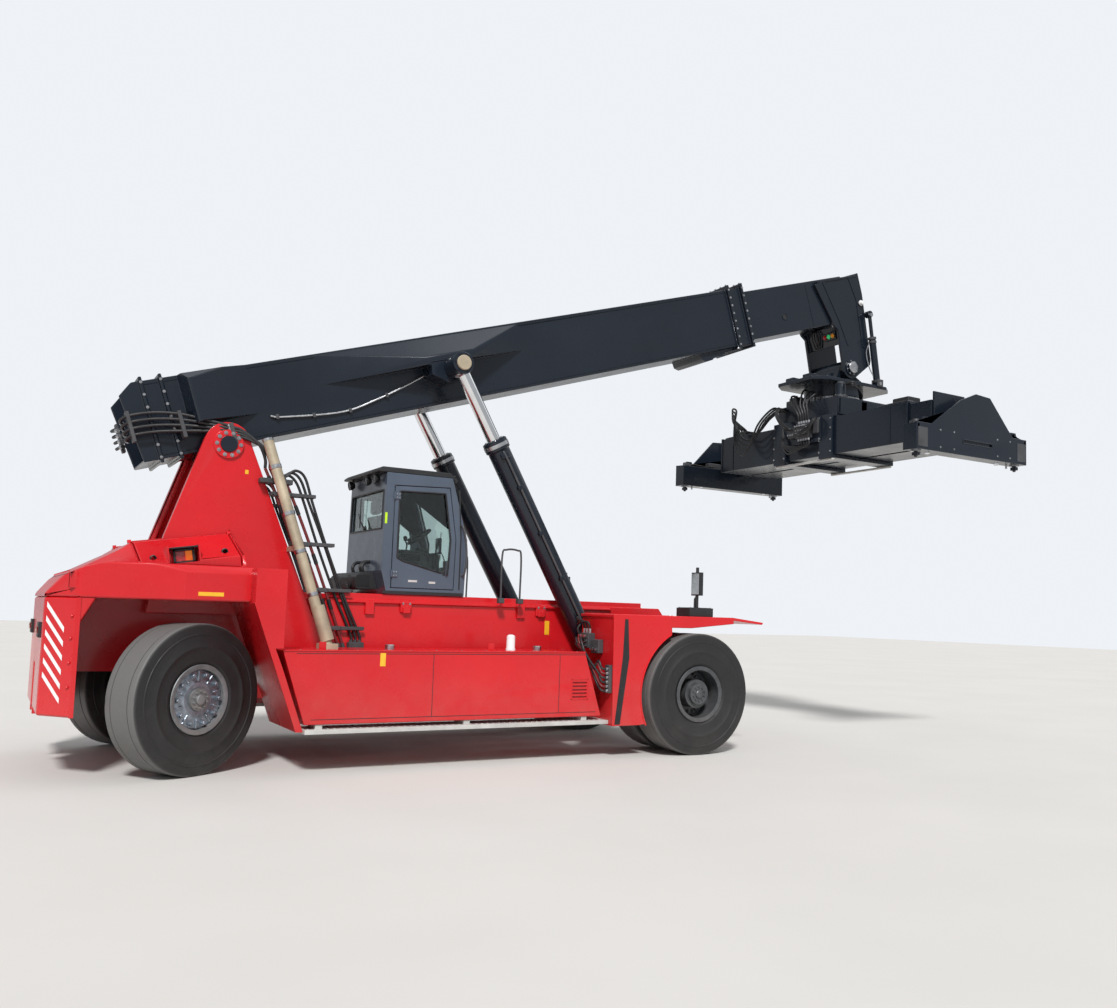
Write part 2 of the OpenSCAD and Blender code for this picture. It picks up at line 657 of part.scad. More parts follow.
// Panes stand in their openings, pressed against the frame by a thin seal
module cab_glass() world() color(glass_tint) {
    intersection() {
        difference() {
            prism_y(inset(cab_outline, 20), -cab_y + 90 + fit, cab_y - 90 - fit);
            prism_y(inset(cab_outline, 20 + glass_t), -cab_y, cab_y);
        }
        union() {
            box([cab_front - 400, -cab_y, 2420 + fit], [cab_front + 10, cab_y, cab_top - 90 - fit]);
            box([cab_rear - 10, -cab_y, window_low + fit], [cab_rear + 100, cab_y, cab_top - 220 - fit]);
            box([sky_rear + fit, -cab_y + 200 + fit, cab_top - 300],
                [sky_front - fit, cab_y - 200 - fit, cab_top + 10]);
        }
    }
}

module operator_station() world() color(black) {
    z0 = cab_floor + cab_t;
    x0 = cab_rear + 200;
    // seat box, cushion and back
    box([x0 + 40, -250, z0], [x0 + 520, 250, z0 + 350]);
    box([x0, -270, z0 + 350], [x0 + 550, 270, z0 + 480]);
    prism_y([[x0, z0 + 480], [x0 + 120, z0 + 480], [x0 - 20, z0 + 1130], [x0 - 120, z0 + 1110]],
        -250, 250);
    // armrests with their levers
    both_sides() box([x0 + 100, 290, z0 + 520], [x0 + 500, 370, z0 + 620]);
    both_sides() box([x0 + 140, 270, z0 + 400], [x0 + 220, 370, z0 + 520]);
    // console, column and wheel
    box([cab_front - 280, -220, z0], [cab_front - 160, 220, z0 + 620]);
    bar([cab_front - 240, 0, z0 + 500], [cab_front - 400, 0, z0 + 760], 35);
    translate([cab_front - 400, 0, z0 + 760]) rotate([0, -37, 0]) rotate_extrude() translate([175, 0])
        circle(r = 16);
    bar([cab_front - 400, -175, z0 + 760], [cab_front - 400, 175, z0 + 760], 14);
}

// X of the cab's slanted rear edge at height z
function rear_edge(z) = let (a = cab_outline[0], b = cab_outline[5])
    a.x + (b.x - a.x) * (z - a.y) / (b.y - a.y);

module cooler_unit() world() color(black) translate([-fit, 0, 0])
    prism_y([[cab_rear - 210, cab_floor + 60], [rear_edge(cab_floor + 60), cab_floor + 60],
        [rear_edge(2310), 2310], [cab_rear - 150, 2310], [cab_rear - 240, 2240]], -420, cab_y - 60);

// Doors hinged at their rear edge, each as thick as the wall, with the window cut
hinge_r = 14;
hinge_y = cab_y + hinge_r + fit;
door_outline = [
    [door_rear + door_gap, door_low + door_gap], [door_front + 40 - door_gap, door_low + door_gap],
    [door_front + 50 - door_gap, 2780], [door_front - 60 - door_gap, door_high - door_gap],
    [door_rear + door_gap, door_high - 30 - door_gap]];
door_window = [
    [door_rear + 70, 2500], [door_rear + 150, 2460], [door_front - 150, 2330],
    [door_front - 50, 2390], [door_front - 30, 2770], [door_front - 125, door_high - 85],
    [door_rear + 70, door_high - 100]];

module cab_door(s) world() color(cab_grey) on_side(s) {
    difference() {
        prism_y(door_outline, cab_y - cab_t, cab_y);
        prism_y(door_window, cab_y - cab_t - 1, cab_y + 1);
    }
    // hinge barrels with their leaves, and the handle
    for (z = [2250, 3250]) {
        translate([door_rear, hinge_y, z]) cylinder(r = hinge_r, h = 90);
        box([door_rear, cab_y + 0.5, z], [door_rear + 80, cab_y + 12, z + 90]);
        box([door_rear + 40, cab_y - 1, z], [door_rear + 80, cab_y + 12, z + 90]);
    }
    box([door_front - 90, cab_y, 2300], [door_front - 60, cab_y + 25, 2480]);
}
module door_right() cab_door(-1);
module door_left() cab_door(1);

module door_glass(s) world() color(glass_tint) on_side(s)
    prism_y(inset(door_window, fit), cab_y - 30, cab_y - 30 + glass_t);
module door_glass_right() door_glass(-1);
module door_glass_left() door_glass(1);

// Steering knuckles: a fork round the axle's end, its kingpin and the stub axle
module knuckle(s) on_kingpin(s) color(steel_grey) {
    for (z = [-245, 120]) translate([0, 0, z]) cylinder(r = 120, h = 125 - 0.5);
    translate([0, 0, -245]) cylinder(r = 55, h = 489);
    translate([0, s * 40, 0]) box([-110, s > 0 ? 95 : -170, -245], [110, s > 0 ? 170 : -95, 245]);
    for (z = [-245, 165]) translate([0, 0, z])
        box([-100, s > 0 ? 0 : -200, 0], [100, s > 0 ? 200 : 0, 80]);
    rotate([s > 0 ? -90 : 90, 0, 0]) translate([0, 0, 200]) cylinder(r = spindle_r, h = 190);
}
module knuckle_right() knuckle(-1);
module knuckle_left() knuckle(1);

// Tyre round the Y axis, centred: half profile from bead to tread
module tyre() rotate([90, 0, 0]) rotate_extrude($fn = 96) polygon([
    [rim_r, -tyre_w * 0.36], [rim_r + 40, -tyre_w * 0.44], [tyre_r * 0.66, -tyre_w * 0.5],
    [tyre_r * 0.86, -tyre_w * 0.5], [tyre_r - 25, -tyre_w * 0.46], [tyre_r, -tyre_w * 0.40],
    [tyre_r, tyre_w * 0.40], [tyre_r - 25, tyre_w * 0.46], [tyre_r * 0.86, tyre_w * 0.5],
    [tyre_r * 0.66, tyre_w * 0.5], [rim_r + 40, tyre_w * 0.44], [rim_r, tyre_w * 0.36]]);

// Rim round the Y axis: barrel with its two flanges, and a disc at offset y from the middle
module rim(y) {
    rotate([90, 0, 0]) rotate_extrude() polygon([
        [rim_r - 30, -tyre_w * 0.44], [rim_r + 20, -tyre_w * 0.44], [rim_r, -tyre_w * 0.36],
        [rim_r, tyre_w * 0.36], [rim_r + 20, tyre_w * 0.44], [rim_r - 30, tyre_w * 0.44]]);
    bar_y(0, 0, rim_r - 20, y - 15, y + 15);
}

module rear_tyre(s) on_kingpin(s) color(black) translate([0, s * kingpin_offset, 0]) tyre();
module tyre_rear_right() rear_tyre(-1);
module tyre_rear_left() rear_tyre(1);

module rear_rim(s) on_kingpin(s) color(steel_grey) translate([0, s * kingpin_offset, 0])
    on_side(s) difference() {
        union() {
            rim(90);
            bar_y(0, 0, 175, 0, 190);
            bar_y(0, 0, 120, 190, 225);
            for (a = [0 : 30 : 330]) bar_y(245 * cos(a), 245 * sin(a), 20, 105, 135);
        }
        bar_y(0, 0, spindle_r + fit, -300, 175);
    }
module rim_rear_right() rear_rim(-1);
module rim_rear_left() rear_rim(1);

twin_mid_y = [twin_in_y + tyre_w / 2, front_face_y - tyre_w / 2];
module front_tyres(s) world() color(black)
    for (y = twin_mid_y) translate([0, s * y, tyre_r]) tyre();
module tyres_front_right() front_tyres(-1);
module tyres_front_left() front_tyres(1);

module front_rims(s) world() translate([0, 0, tyre_r]) color(steel_grey) on_side(s) difference() {
    union() {
        translate([0, twin_mid_y[0], 0]) rim(90);
        translate([0, twin_mid_y[1], 0]) rim(-60);
        bar_y(0, 0, 190, twin_in_y, front_face_y - 90);
        bar_y(0, 0, 140, front_face_y - 90, front_face_y - 40);
        bar_y(0, 0, rim_r - 30, twin_mid_y[0] + 105, twin_mid_y[1] - 75);
        for (a = [0 : 30 : 330])
            bar_y(245 * cos(a), 245 * sin(a), 20, twin_mid_y[1] - 45, twin_mid_y[1] - 15);
    }
    bar_y(0, 0, spindle_r + fit, twin_in_y - 10, front_face_y - 180);
}
module rims_front_right() front_rims(-1);
module rims_front_left() front_rims(1);

// Outer boom: open box with end flanges, pivot boss, flared shoulders and eye brackets
boss_r = 200;
tail_outline = [
    [-boom_rear + 40, 0], [boom_front, 0], [boom_front, boom_h], [-boom_rear + 130, boom_h],
    [-boom_rear - 30, boom_h - 130]];
shoulder_plan = [[-310, boom_y - 1], [-260, tower_y + 45], [-215, tower_y + 50], [500, boom_y - 1]];
shoulder_end = [[boom_y - 1, 320], [tower_y + 50, 320], [tower_y + 50, boom_h - 90],
    [boom_y + 120, boom_h], [boom_y - 1, boom_h]];
bracket_end_y = lift_y - barrel_r - 10;
// Fairing over the eye's bracket: widest at the eye, its top sloping outwards
fairing_plan = [[1380, boom_y - 1], [eye_x - 350, bracket_end_y - 10], [eye_x + 350, bracket_end_y - 10],
    [eye_x + 1250, boom_y - 1]];
fairing_end = [[boom_y - 1, eye_z + 110], [bracket_end_y, eye_z + 90], [bracket_end_y, eye_z + 190],
    [boom_y - 1, boom_h - 25]];
eye_block = [[eye_x - 300, eye_z + 120], [eye_x - 330, eye_z - 40], [eye_x - 130, eye_z - 180],
    [eye_x + 150, eye_z - 160], [eye_x + 260, eye_z + 20], [eye_x + 240, eye_z + 120]];
roller_box = [[7450, 10], [7460, -90], [7540, -140], [7680, -130], [7720, -95], [7880, -100],
    [7960, -60], [boom_front - 330, -40], [boom_front - 330, 10]];

module boom_ring(x, w, out)
    difference() {
        box([x, -boom_y - out, -out], [x + w, boom_y + out, boom_h + out]);
        box([x - 1, -boom_y, 0], [x + w + 1, boom_y, boom_h]);
    }

module boom_outer() on_boom() color(boom_grey) {
    difference() {
        union() {
            prism_y(tail_outline, -boom_y, boom_y);
            for (x = [-740, -520]) boom_ring(x, 40, 45);
            for (x = [boom_front - 330, boom_front - 45]) boom_ring(x, 45, 60);
            both_sides() {
                bar_y(0, 0, boss_r, boom_y - 20, tower_y - tower_t - fit);
                intersection() {
                    prism_z(shoulder_plan, 320, boom_h);
                    prism_x(shoulder_end, -310, 500);
                }
                intersection() {
                    prism_z(fairing_plan, 0, boom_h);
                    prism_x(fairing_end, 1380, eye_x + 1250);
                }
                prism_y(eye_block, boom_y - 1, bracket_end_y);
            }
            // roller bracket under the front end
            prism_y(roller_box, -boom_y + 60, boom_y - 60);
        }
        box([-boom_rear - 100, -boom_y + boom_t, boom_t],
            [boom_front + 1, boom_y - boom_t, boom_h - boom_t]);
    }
    // pivot pins through the tower's plates, and the wear pad under the inner boom
    both_sides() bar_y(0, 0, pivot_pin_r, tower_y - tower_t - 10, tower_y + 50);
    box([boom_front - 500, -280, boom_t], [boom_front - 20, 280, inner_z0 - fit]);
}

// Rod of the extension cylinder, held by a cross piece in the boom's open tail
extension_z = boom_h / 2;
module extension_rod() on_boom() color(chrome) {
    box([-560, -boom_y + boom_t, extension_z - 90], [-440, boom_y - boom_t, extension_z + 90]);
    translate([-440, 0, extension_z]) rotate([0, 90, 0]) cylinder(r = 60, h = 7640);
}

// Inner boom with the barrel of the extension cylinder inside
inner_y = boom_y - boom_t - slide_gap;
inner_z0 = boom_t + slide_gap;
inner_z1 = boom_h - boom_t - slide_gap;

module boom_inner() on_boom() color(boom_grey) {
    difference() {
        box([inner_rear, -inner_y, inner_z0], [inner_front, inner_y, inner_z1]);
        box([inner_rear - 1, -inner_y + inner_t, inner_z0 + inner_t],
            [inner_front + 1, inner_y - inner_t, inner_z1 - inner_t]);
    }
    difference() {
        union() {
            translate([inner_rear, 0, extension_z]) rotate([0, 90, 0]) cylinder(r = 130, h = 7300);
            box([inner_rear + 7300, -inner_y + inner_t, extension_z - 130],
                [inner_rear + 7400, inner_y - inner_t, extension_z + 130]);
        }
        translate([inner_rear - 1, 0, extension_z]) rotate([0, 90, 0]) cylinder(r = 62, h = 7251);
    }
}

// Boom head: cheek plates from the inner boom's end down to the head pin
cheek_in_y = inner_y;
head_outline = concat(
    [[inner_front - 700, inner_z1 - 80], [inner_front - 450, inner_z0 - 30],
    [head_x - 110, -60]],
    arc([head_x, -head_drop], 190, 190, 290, 6),
    [[head_x + 480, -head_drop - 20], [head_x + 520, -head_drop + 60], [inner_front + 390, inner_z1 - 380],
    [inner_front + 390, inner_z1]]);

module boom_head() on_boom() color(boom_grey) difference() {
    union() {
        both_sides() prism_y(head_outline, cheek_in_y, head_y);
        prism_y([[inner_front, inner_z0], [inner_front + 200, inner_z0],
            [inner_front + 330, inner_z1 - 380], [inner_front + 330, inner_z1 - 60],
            [inner_front, inner_z1 - 60]], -cheek_in_y, cheek_in_y);
        // web across the rear of the leg, with the box of signal lamps on it
        prism_y([[head_x - 60, inner_z0 - 40], [head_x - 60, -300], [head_x - 20, -300],
            [inner_front + 60, inner_z0 - 40]], -cheek_in_y, cheek_in_y);
        box([head_x - 105, -330, -190], [head_x - 59, -30, -60]);
        both_sides() bar_y(head_x, -head_drop, 140, cheek_in_y, head_y + 25);
    }
    both_sides() bar_y(head_x, -head_drop, head_pin_r + fit, cheek_in_y - 10, head_y + 40);
}

// Lift cylinders
module lift_barrel(s) on_lift(s) {
    color(boom_grey) {
        difference() {
            union() {
                rotate([90, 0, 0]) cylinder(r = 150, h = 250, center = true);
                translate([0, 0, 100]) cylinder(r = barrel_r, h = barrel_len - 100);
            }
            rotate([90, 0, 0]) cylinder(r = 80 + fit, h = 400, center = true);
            translate([0, 0, 145]) cylinder(r = lift_rod_r + 12, h = barrel_len - 80 - 145);
            translate([0, 0, barrel_len - 90]) cylinder(r = lift_rod_r + fit, h = 100);
        }
    }
}
module lift_barrel_right() lift_barrel(-1);
module lift_barrel_left() lift_barrel(1);

// Rod from the piston to the eye; the eye's inner face stands on the boom's bracket
rod_back = 155;
closed_len = 3545;
rod_len = closed_len - rod_back;
eye_half = lift_y - bracket_end_y - fit;
module lift_rod(s) on_lift(s) {
    color(chrome) {
        translate([0, 0, lift_len - rod_len]) cylinder(r = lift_rod_r, h = rod_len - 100);
        translate([0, 0, lift_len - rod_len]) cylinder(r = lift_rod_r + 11, h = 50);
        translate([0, 0, lift_len]) rotate([90, 0, 0])
            cylinder(r = 140, h = 2 * eye_half, center = true);
    }
    color(beige) translate([0, s > 0 ? eye_half : -eye_half - 25, lift_len]) rotate([-90, 0, 0])
        cylinder(r = 95, h = 25);
}
module lift_rod_right() lift_rod(-1);
module lift_rod_left() lift_rod(1);

// Yoke on the head pin: cross tube, top plate, slewing ring and the two tilt dampers
pin_z = spreader_drop;
plate_z = pin_z - 330;
ring_z = plate_z - 190;
damper_y = head_y + 110;

module yoke() on_spreader() {
    color(boom_grey) {
        bar_y(0, pin_z, 150, -cheek_in_y + 6, cheek_in_y - 6);
        bar_y(0, pin_z, head_pin_r, -head_y - 45, head_y + 45);
        prism_y([[-260, plate_z + 60], [-150, pin_z], [150, pin_z], [260, plate_z + 60]], -300, 300);
        prism_z([[-930, -420], [-700, -600], [700, -600], [930, -420], [930, 420], [700, 600],
            [-700, 600], [-930, 420]], plate_z, plate_z + 60);
        translate([0, 0, ring_z]) cylinder(r = 520, h = plate_z - ring_z, $fn = 72);
    }
    both_sides() {
        color(boom_grey) box([470, damper_y - 60, plate_z + 60], [590, damper_y + 40, plate_z + 130]);
        color(steel_grey) bar([530, damper_y - 10, plate_z + 130], [400, damper_y - 10, plate_z + 900], 60);
        color(chrome) bar([400, damper_y - 10, plate_z + 900], [330, damper_y - 10, plate_z + 1310], 32);
        color(steel_grey) bar_y(326, plate_z + 1330, 60, head_y + 30, damper_y + 20);
    }
}

// Slew frame: ring, motors and the two straps that hold the main beam
tube_z0 = 250;
tube_z1 = tube_z0 + tube_h;
tube_in_x = 40;
tube_out_x = tube_in_x + tube_w;
strap_z = tube_z1 + arm_gap;
strap_x = tube_out_x + arm_gap;

module slew_frame() on_spreader() color(boom_grey) {
    translate([0, 0, ring_z - 110]) cylinder(r = 480, h = 110 - fit, $fn = 72);
    difference() {
        box([-620, -760, strap_z + 40], [620, 760, ring_z - 110]);
        box([-580, -770, strap_z + 80], [580, 770, ring_z - 150]);
    }
    for (x = [-430, 430]) translate([x, x > 0 ? 620 : -620, ring_z - 110]) cylinder(r = 95, h = 250);
    both_sides() difference() {
        box([-strap_x - 50, 430, tube_z0 - 60], [strap_x + 50, 740, strap_z + 40]);
        box([-strap_x, 420, tube_z0 - fit], [strap_x, 750, strap_z]);
    }
}

// Main beam: two tubes side by side, tied by plates at the middle and at the ends
module spreader_beam() on_spreader() color(boom_grey) difference() {
    union() {
        for (x = [-tube_out_x, tube_in_x])
            box([x, -main_beam_y, tube_z0], [x + tube_w, main_beam_y, tube_z1]);
        for (y = [-main_beam_y, -300, main_beam_y - 120])
            box([-tube_in_x, y, tube_z0 + 60], [tube_in_x, y + (y == -300 ? 600 : 120), tube_z1 - 60]);
    }
    for (x = [-tube_out_x, tube_in_x])
        box([x + tube_t, -main_beam_y - 1, tube_z0 + tube_t],
            [x + tube_w - tube_t, main_beam_y + 1, tube_z1 - tube_t]);
}

// Telescopic arm on side s, a box girder, and its end beam with gusset plate, lugs and twistlocks
arm_x0 = tube_in_x + tube_t + arm_gap;
arm_x1 = tube_out_x - tube_t - arm_gap;
arm_z0 = tube_z0 + tube_t + fit;
arm_z1 = tube_z1 - tube_t - arm_gap;
lock_y = lock_pitch_y / 2;
end_y0 = lock_y - end_beam_w / 2;
end_y1 = lock_y + end_beam_w / 2;
arm_back = 1750;
// Outer plate of the end beam with its slot, and the plate at the arm's end
gusset = [
    [-end_beam_x, 0], [end_beam_x, 0], [end_beam_x, end_beam_h + 15], [930, end_beam_h + 15],
    [800, end_beam_h + 110], [300, tube_z1 - 50], [-60, tube_z1 + 95], [-380, tube_z1 + 75],
    [-810, end_beam_h + 130], [-930, end_beam_h + 15], [-end_beam_x, end_beam_h + 15]];
slot_low = [-430, end_y1 - 25, 185];
slot_high = [260, end_y1 + 1, 245];

module twistlock() {
    translate([0, 0, -30]) cylinder(r = 30, h = 32);
    translate([0, 0, -80]) linear_extrude(50)
        polygon([[-32, -50], [32, -50], [32, 50], [-32, 50]]);
    translate([0, 0, -105]) cylinder(r1 = 18, r2 = 31, h = 25);
}

module arm(s) on_spreader() rotate([0, 0, s > 0 ? 0 : 180]) color(boom_grey) difference() {
    box([arm_x0, -arm_back, arm_z0], [arm_x1, end_y0, arm_z1]);
    box([arm_x0 + 20, -arm_back - 1, arm_z0 + 20], [arm_x1 - 20, end_y0 - 60, arm_z1 - 20]);
}
module spreader_arm_right() arm(-1);
module spreader_arm_left() arm(1);

module end_beam(s) on_spreader() rotate([0, 0, s > 0 ? 0 : 180]) {
    color(boom_grey) {
        difference() {
            union() {
                box([-end_beam_x, end_y0, 0], [end_beam_x, end_y1, end_beam_h]);
                prism_y(gusset, end_y1 - 40, end_y1);
            }
            box(slot_low, slot_high);
        }
        box([-70, end_y0, end_beam_h], [620, end_y0 + 40, tube_z1 + 90]);
        for (x = [-70, 580]) box([x, end_y0 + 30, end_beam_h], [x + 40, end_y1 - 39, end_beam_h + 230]);
        for (x = [-1, 1]) difference() {
            prism_y([[x * 1000 - 90, end_beam_h], [x * 1000 + 90, end_beam_h],
                [x * 1000 + 60, end_beam_h + 110], [x * 1000 - 60, end_beam_h + 110]],
                end_y1 - 90, end_y1 - 50);
            bar_y(x * 1000, end_beam_h + 60, lug_r, end_y1 - 100, end_y1 - 40);
        }
    }
    color(steel_grey) for (x = [-1, 1])
        translate([x * lock_pitch_x / 2, lock_y, 0]) twistlock();
}
module end_beam_right() end_beam(-1);
module end_beam_left() end_beam(1);

main_frame();
tower();
rear_frame();
counterweight();
rear_deck();
hood_lid_right();
hood_lid_left();
engine_block();
drive_axle();
steer_axle();
tank_right();
tank_left();
walkways();
front_fenders();
mud_plates();
exhaust_pipe();
tower_pipes();
work_lamps();
cab_shell();
cab_roof();
cab_glass();
operator_station();
cooler_unit();
door_right();
door_left();
door_glass_right();
door_glass_left();
knuckle_right();
knuckle_left();
tyre_rear_right();
tyre_rear_left();
rim_rear_right();
rim_rear_left();
tyres_front_right();
tyres_front_left();
rims_front_right();
rims_front_left();
boom_outer();
extension_rod();
boom_inner();
boom_head();
lift_barrel_right();
lift_barrel_left();
lift_rod_right();
lift_rod_left();
yoke();
slew_frame();
spreader_beam();
spreader_arm_right();
spreader_arm_left();
end_beam_right();
end_beam_left();
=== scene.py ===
# Reach stacker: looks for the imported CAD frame
import json
import math

import bpy
import bmesh
import numpy as np
from mathutils import Matrix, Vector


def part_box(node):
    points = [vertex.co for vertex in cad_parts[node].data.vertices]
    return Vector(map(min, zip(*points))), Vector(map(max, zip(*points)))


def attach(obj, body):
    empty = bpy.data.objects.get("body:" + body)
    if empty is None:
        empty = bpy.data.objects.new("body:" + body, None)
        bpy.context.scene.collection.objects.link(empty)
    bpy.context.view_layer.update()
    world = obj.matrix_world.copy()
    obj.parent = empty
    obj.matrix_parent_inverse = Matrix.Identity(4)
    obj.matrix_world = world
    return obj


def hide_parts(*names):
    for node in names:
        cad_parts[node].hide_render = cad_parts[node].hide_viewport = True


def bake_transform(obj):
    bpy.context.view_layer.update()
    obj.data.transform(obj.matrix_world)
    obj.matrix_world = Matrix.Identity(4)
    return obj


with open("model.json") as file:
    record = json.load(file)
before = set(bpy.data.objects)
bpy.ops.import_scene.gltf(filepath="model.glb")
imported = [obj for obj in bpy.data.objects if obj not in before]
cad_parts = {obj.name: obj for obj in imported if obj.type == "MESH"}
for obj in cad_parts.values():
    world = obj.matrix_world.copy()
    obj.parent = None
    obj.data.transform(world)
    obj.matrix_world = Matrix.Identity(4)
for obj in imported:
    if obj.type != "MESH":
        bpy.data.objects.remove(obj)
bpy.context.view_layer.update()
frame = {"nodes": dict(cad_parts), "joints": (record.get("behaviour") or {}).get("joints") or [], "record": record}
nodes = frame["nodes"]
joints = {j["name"]: j for j in frame["joints"]}
mounts = {m["name"]: m for m in frame["record"]["mounts"]}
bodyOf = {n: b for b, group in frame["record"]["behaviour"]["bodies"].items() for n in group}
print("frame loaded:", len(nodes), "nodes")


# Places are in metres and in the row frame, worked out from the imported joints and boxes
# Where a joint stands
def spot(name):
    return np.array(joints[name]["pos_m"], float)


# Unit vector along a joint's axis
def axisOf(name):
    return np.array(joints[name]["axis"], float)


# Low and high corners of a node's box
def boxOf(node):
    low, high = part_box(node)
    return np.array(low), np.array(high)


frontAxle = spot("roll_front_right") * np.array([1, 0, 1])
boomPivot = spot("lift")
boomAlong = axisOf("extend")
boomUp = np.array([-boomAlong[2], 0.0, boomAlong[0]])
headPin = spot("level")
beamUnder = mounts["twistlock_front_right"]["pos_m"][2]
rightSide, leftSide = -1, 1
sides = {"right": rightSide, "left": leftSide}


# Points given from the drive axle, turned into the row frame
def fromAxle(points):
    return np.asarray(points, float) + np.array([frontAxle[0], 0, 0])


# Points given along the boom: (distance from the pivot, y, height over the boom's underside)
def fromBoom(points):
    p = np.asarray(points, float)
    return boomPivot + p[..., :1] * boomAlong + p[..., 1:2] * [0, 1, 0] + p[..., 2:3] * boomUp


# Points given in the hood's frame: x along its crest from the middle of the hinges, z over the hinge line
def fromHood(points):
    p = np.asarray(points, float)
    along = axisOf("hood_left")
    up = np.array([-along[2], 0, along[0]])
    middle = spot("hood_left") * [1, 0, 1]
    return middle + p[..., :1] * along + p[..., 1:2] * [0, 1, 0] + p[..., 2:3] * up


# Points given from the head pin's vertical, z over the end beams' underside
def fromSpreader(points):
    return np.asarray(points, float) + np.array([headPin[0], 0, beamUnder])


# Points given from a lift cylinder's foot: (x across, y, distance towards the eye)
def fromLift(side):
    name = "right" if side < 0 else "left"
    foot = spot("lift_barrel_" + name)
    along = axisOf("lift_rod_" + name)
    across = np.array([along[2], 0, -along[0]])

    def place(points):
        p = np.asarray(points, float)
        return foot + p[..., :1] * across + p[..., 1:2] * [0, 1, 0] + p[..., 2:3] * along
    return place


# A part is (points, faces); parts of one piece are joined at the end
# Rings of n points joined into quads, with flat caps at both ends
def gridPart(rings, capped=True):
    m, n = rings.shape[:2]
    i, j = np.meshgrid(np.arange(m - 1), np.arange(n), indexing="ij")
    k = (j + 1) % n
    quads = np.stack([i * n + j, i * n + k, (i + 1) * n + k, (i + 1) * n + j], -1).reshape(-1, 4)
    faces = quads.tolist()
    if capped:
        faces += [list(range(n))[::-1], list(range((m - 1) * n, m * n))]
    return rings.reshape(-1, 3), faces


# Unit vector along an axis, and two unit vectors square to it and to each other
def squareTo(axis, nearUpright=0.9):
    axis = np.asarray(axis, float) / np.linalg.norm(axis)
    ref = np.array([0, 0, 1.0]) if abs(axis[2]) < nearUpright else np.array([1.0, 0, 0])
    u = np.cross(axis, ref)
    u /= np.linalg.norm(u)
    return axis, u, np.cross(axis, u)


# A closed profile turned once round an axis: point = centre + r (cos a, sin a) + t along the axis
def revolved(profile, centre, axis, count=48):
    axis, u, v = squareTo(axis)
    a = np.linspace(0, 2 * np.pi, count, endpoint=False)[:, None, None]
    r, t = np.asarray(profile, float).T[:, None, :, None]
    rings = np.asarray(centre) + r * (np.cos(a) * u + np.sin(a) * v) + t * axis
    m, n = rings.shape[:2]
    i, j = np.meshgrid(np.arange(m), np.arange(n), indexing="ij")
    quads = np.stack([i * n + j, i * n + (j + 1) % n,
                      ((i + 1) % m) * n + (j + 1) % n, ((i + 1) % m) * n + j], -1)
    return rings.reshape(-1, 3), quads.reshape(-1, 4).tolist()


# Outline moved inwards by w along the mean of its two edge normals at each corner
def insetOutline(outline, w):
    p = np.asarray(outline, float)
    u, v = p - np.roll(p, 1, 0), np.roll(p, -1, 0) - p
    u /= np.linalg.norm(u, axis=1)[:, None]
    v /= np.linalg.norm(v, axis=1)[:, None]
    n, m = np.stack([-u[:, 1], u[:, 0]], -1), np.stack([-v[:, 1], v[:, 0]], -1)
    area = np.sum(p[:, 0] * np.roll(p[:, 1], -1) - np.roll(p[:, 0], -1) * p[:, 1])
    return p + math.copysign(w, area) * (n + m) / (1 + np.sum(n * m, 1))[:, None]


# An outline carried from a to b along an axis, its edges eased by r at both ends
def prism(outline, axis, a, b, r=0.004):
    p = np.asarray(outline, float)
    small = insetOutline(p, r) if r else p
    steps = [(small, a), (p, a + r), (p, b - r), (small, b)] if r else [(p, a), (p, b)]
    order = {"x": (2, 0, 1), "y": (0, 2, 1), "z": (0, 1, 2)}[axis]
    rings = np.stack([np.column_stack([s, np.full(len(p), t)])[:, order] for s, t in steps])
    return gridPart(rings)


# Box with eased edges between two corners
def block(low, high, r=0.004):
    (x0, y0, z0), (x1, y1, z1) = low, high
    r = min(r, abs(x1 - x0) * 0.3, abs(y1 - y0) * 0.3, abs(z1 - z0) * 0.3)
    c = r * 0.999
    outline = [(x0 + c, y0), (x1 - c, y0), (x1, y0 + c), (x1, y1 - c),
               (x1 - c, y1), (x0 + c, y1), (x0, y1 - c), (x0, y0 + c)]
    return prism(outline, "z", z0, z1, r)


# Catmull-Rom curve through the points, worked out for all parameters at once
def smoothPath(points, steps=8):
    p = np.asarray(points, float)
    q = np.vstack([2 * p[0] - p[1], p, 2 * p[-1] - p[-2]])
    t = np.linspace(0, 1, steps, endpoint=False)[None, :, None]
    a, b, c, d = (q[i:len(q) - 3 + i][:, None] for i in range(4))
    curve = 0.5 * (2 * b + (c - a) * t + (2 * a - 5 * b + 4 * c - d) * t ** 2
                   + (3 * b - a - 3 * c + d) * t ** 3)
    return np.vstack([curve.reshape(-1, 3), p[-1:]])


# A circle of radius r carried along a path; each ring stands square to the path there
def tube(path, r, sides=10):
    p = np.asarray(path, float)
    t = np.gradient(p, axis=0)
    t /= np.linalg.norm(t, axis=1)[:, None]
    spread = np.abs(t).max(0)
    ref = np.eye(3)[int(np.argmin(spread))]
    u = np.cross(t, ref)
    u /= np.linalg.norm(u, axis=1)[:, None]
    v = np.cross(t, u)
    a = np.linspace(0, 2 * np.pi, sides, endpoint=False)[None, :, None]
    r = np.broadcast_to(np.asarray(r, float), (len(p),))[:, None, None]
    return gridPart(p[:, None] + r * (np.cos(a) * u[:, None] + np.sin(a) * v[:, None]))


# A tube of radius r along a smooth curve through the points
def bentTube(points, r, steps=8, sides=10):
    return tube(smoothPath(points, steps), r, sides)


# Hexagon heads with a washer below, at each centre, all along one axis
def bolts(centres, axis, r=0.014, h=0.012):
    made = []
    axis = np.asarray(axis, float)
    for c in np.atleast_2d(np.asarray(centres, float)):
        made.append(tube([c, c + axis * h * 0.35], r * 1.45, 12))
        made.append(tube([c + axis * h * 0.3, c + axis * h * 1.1, c + axis * h * 1.3],
                         [r, r, r * 0.8], 6))
    return made


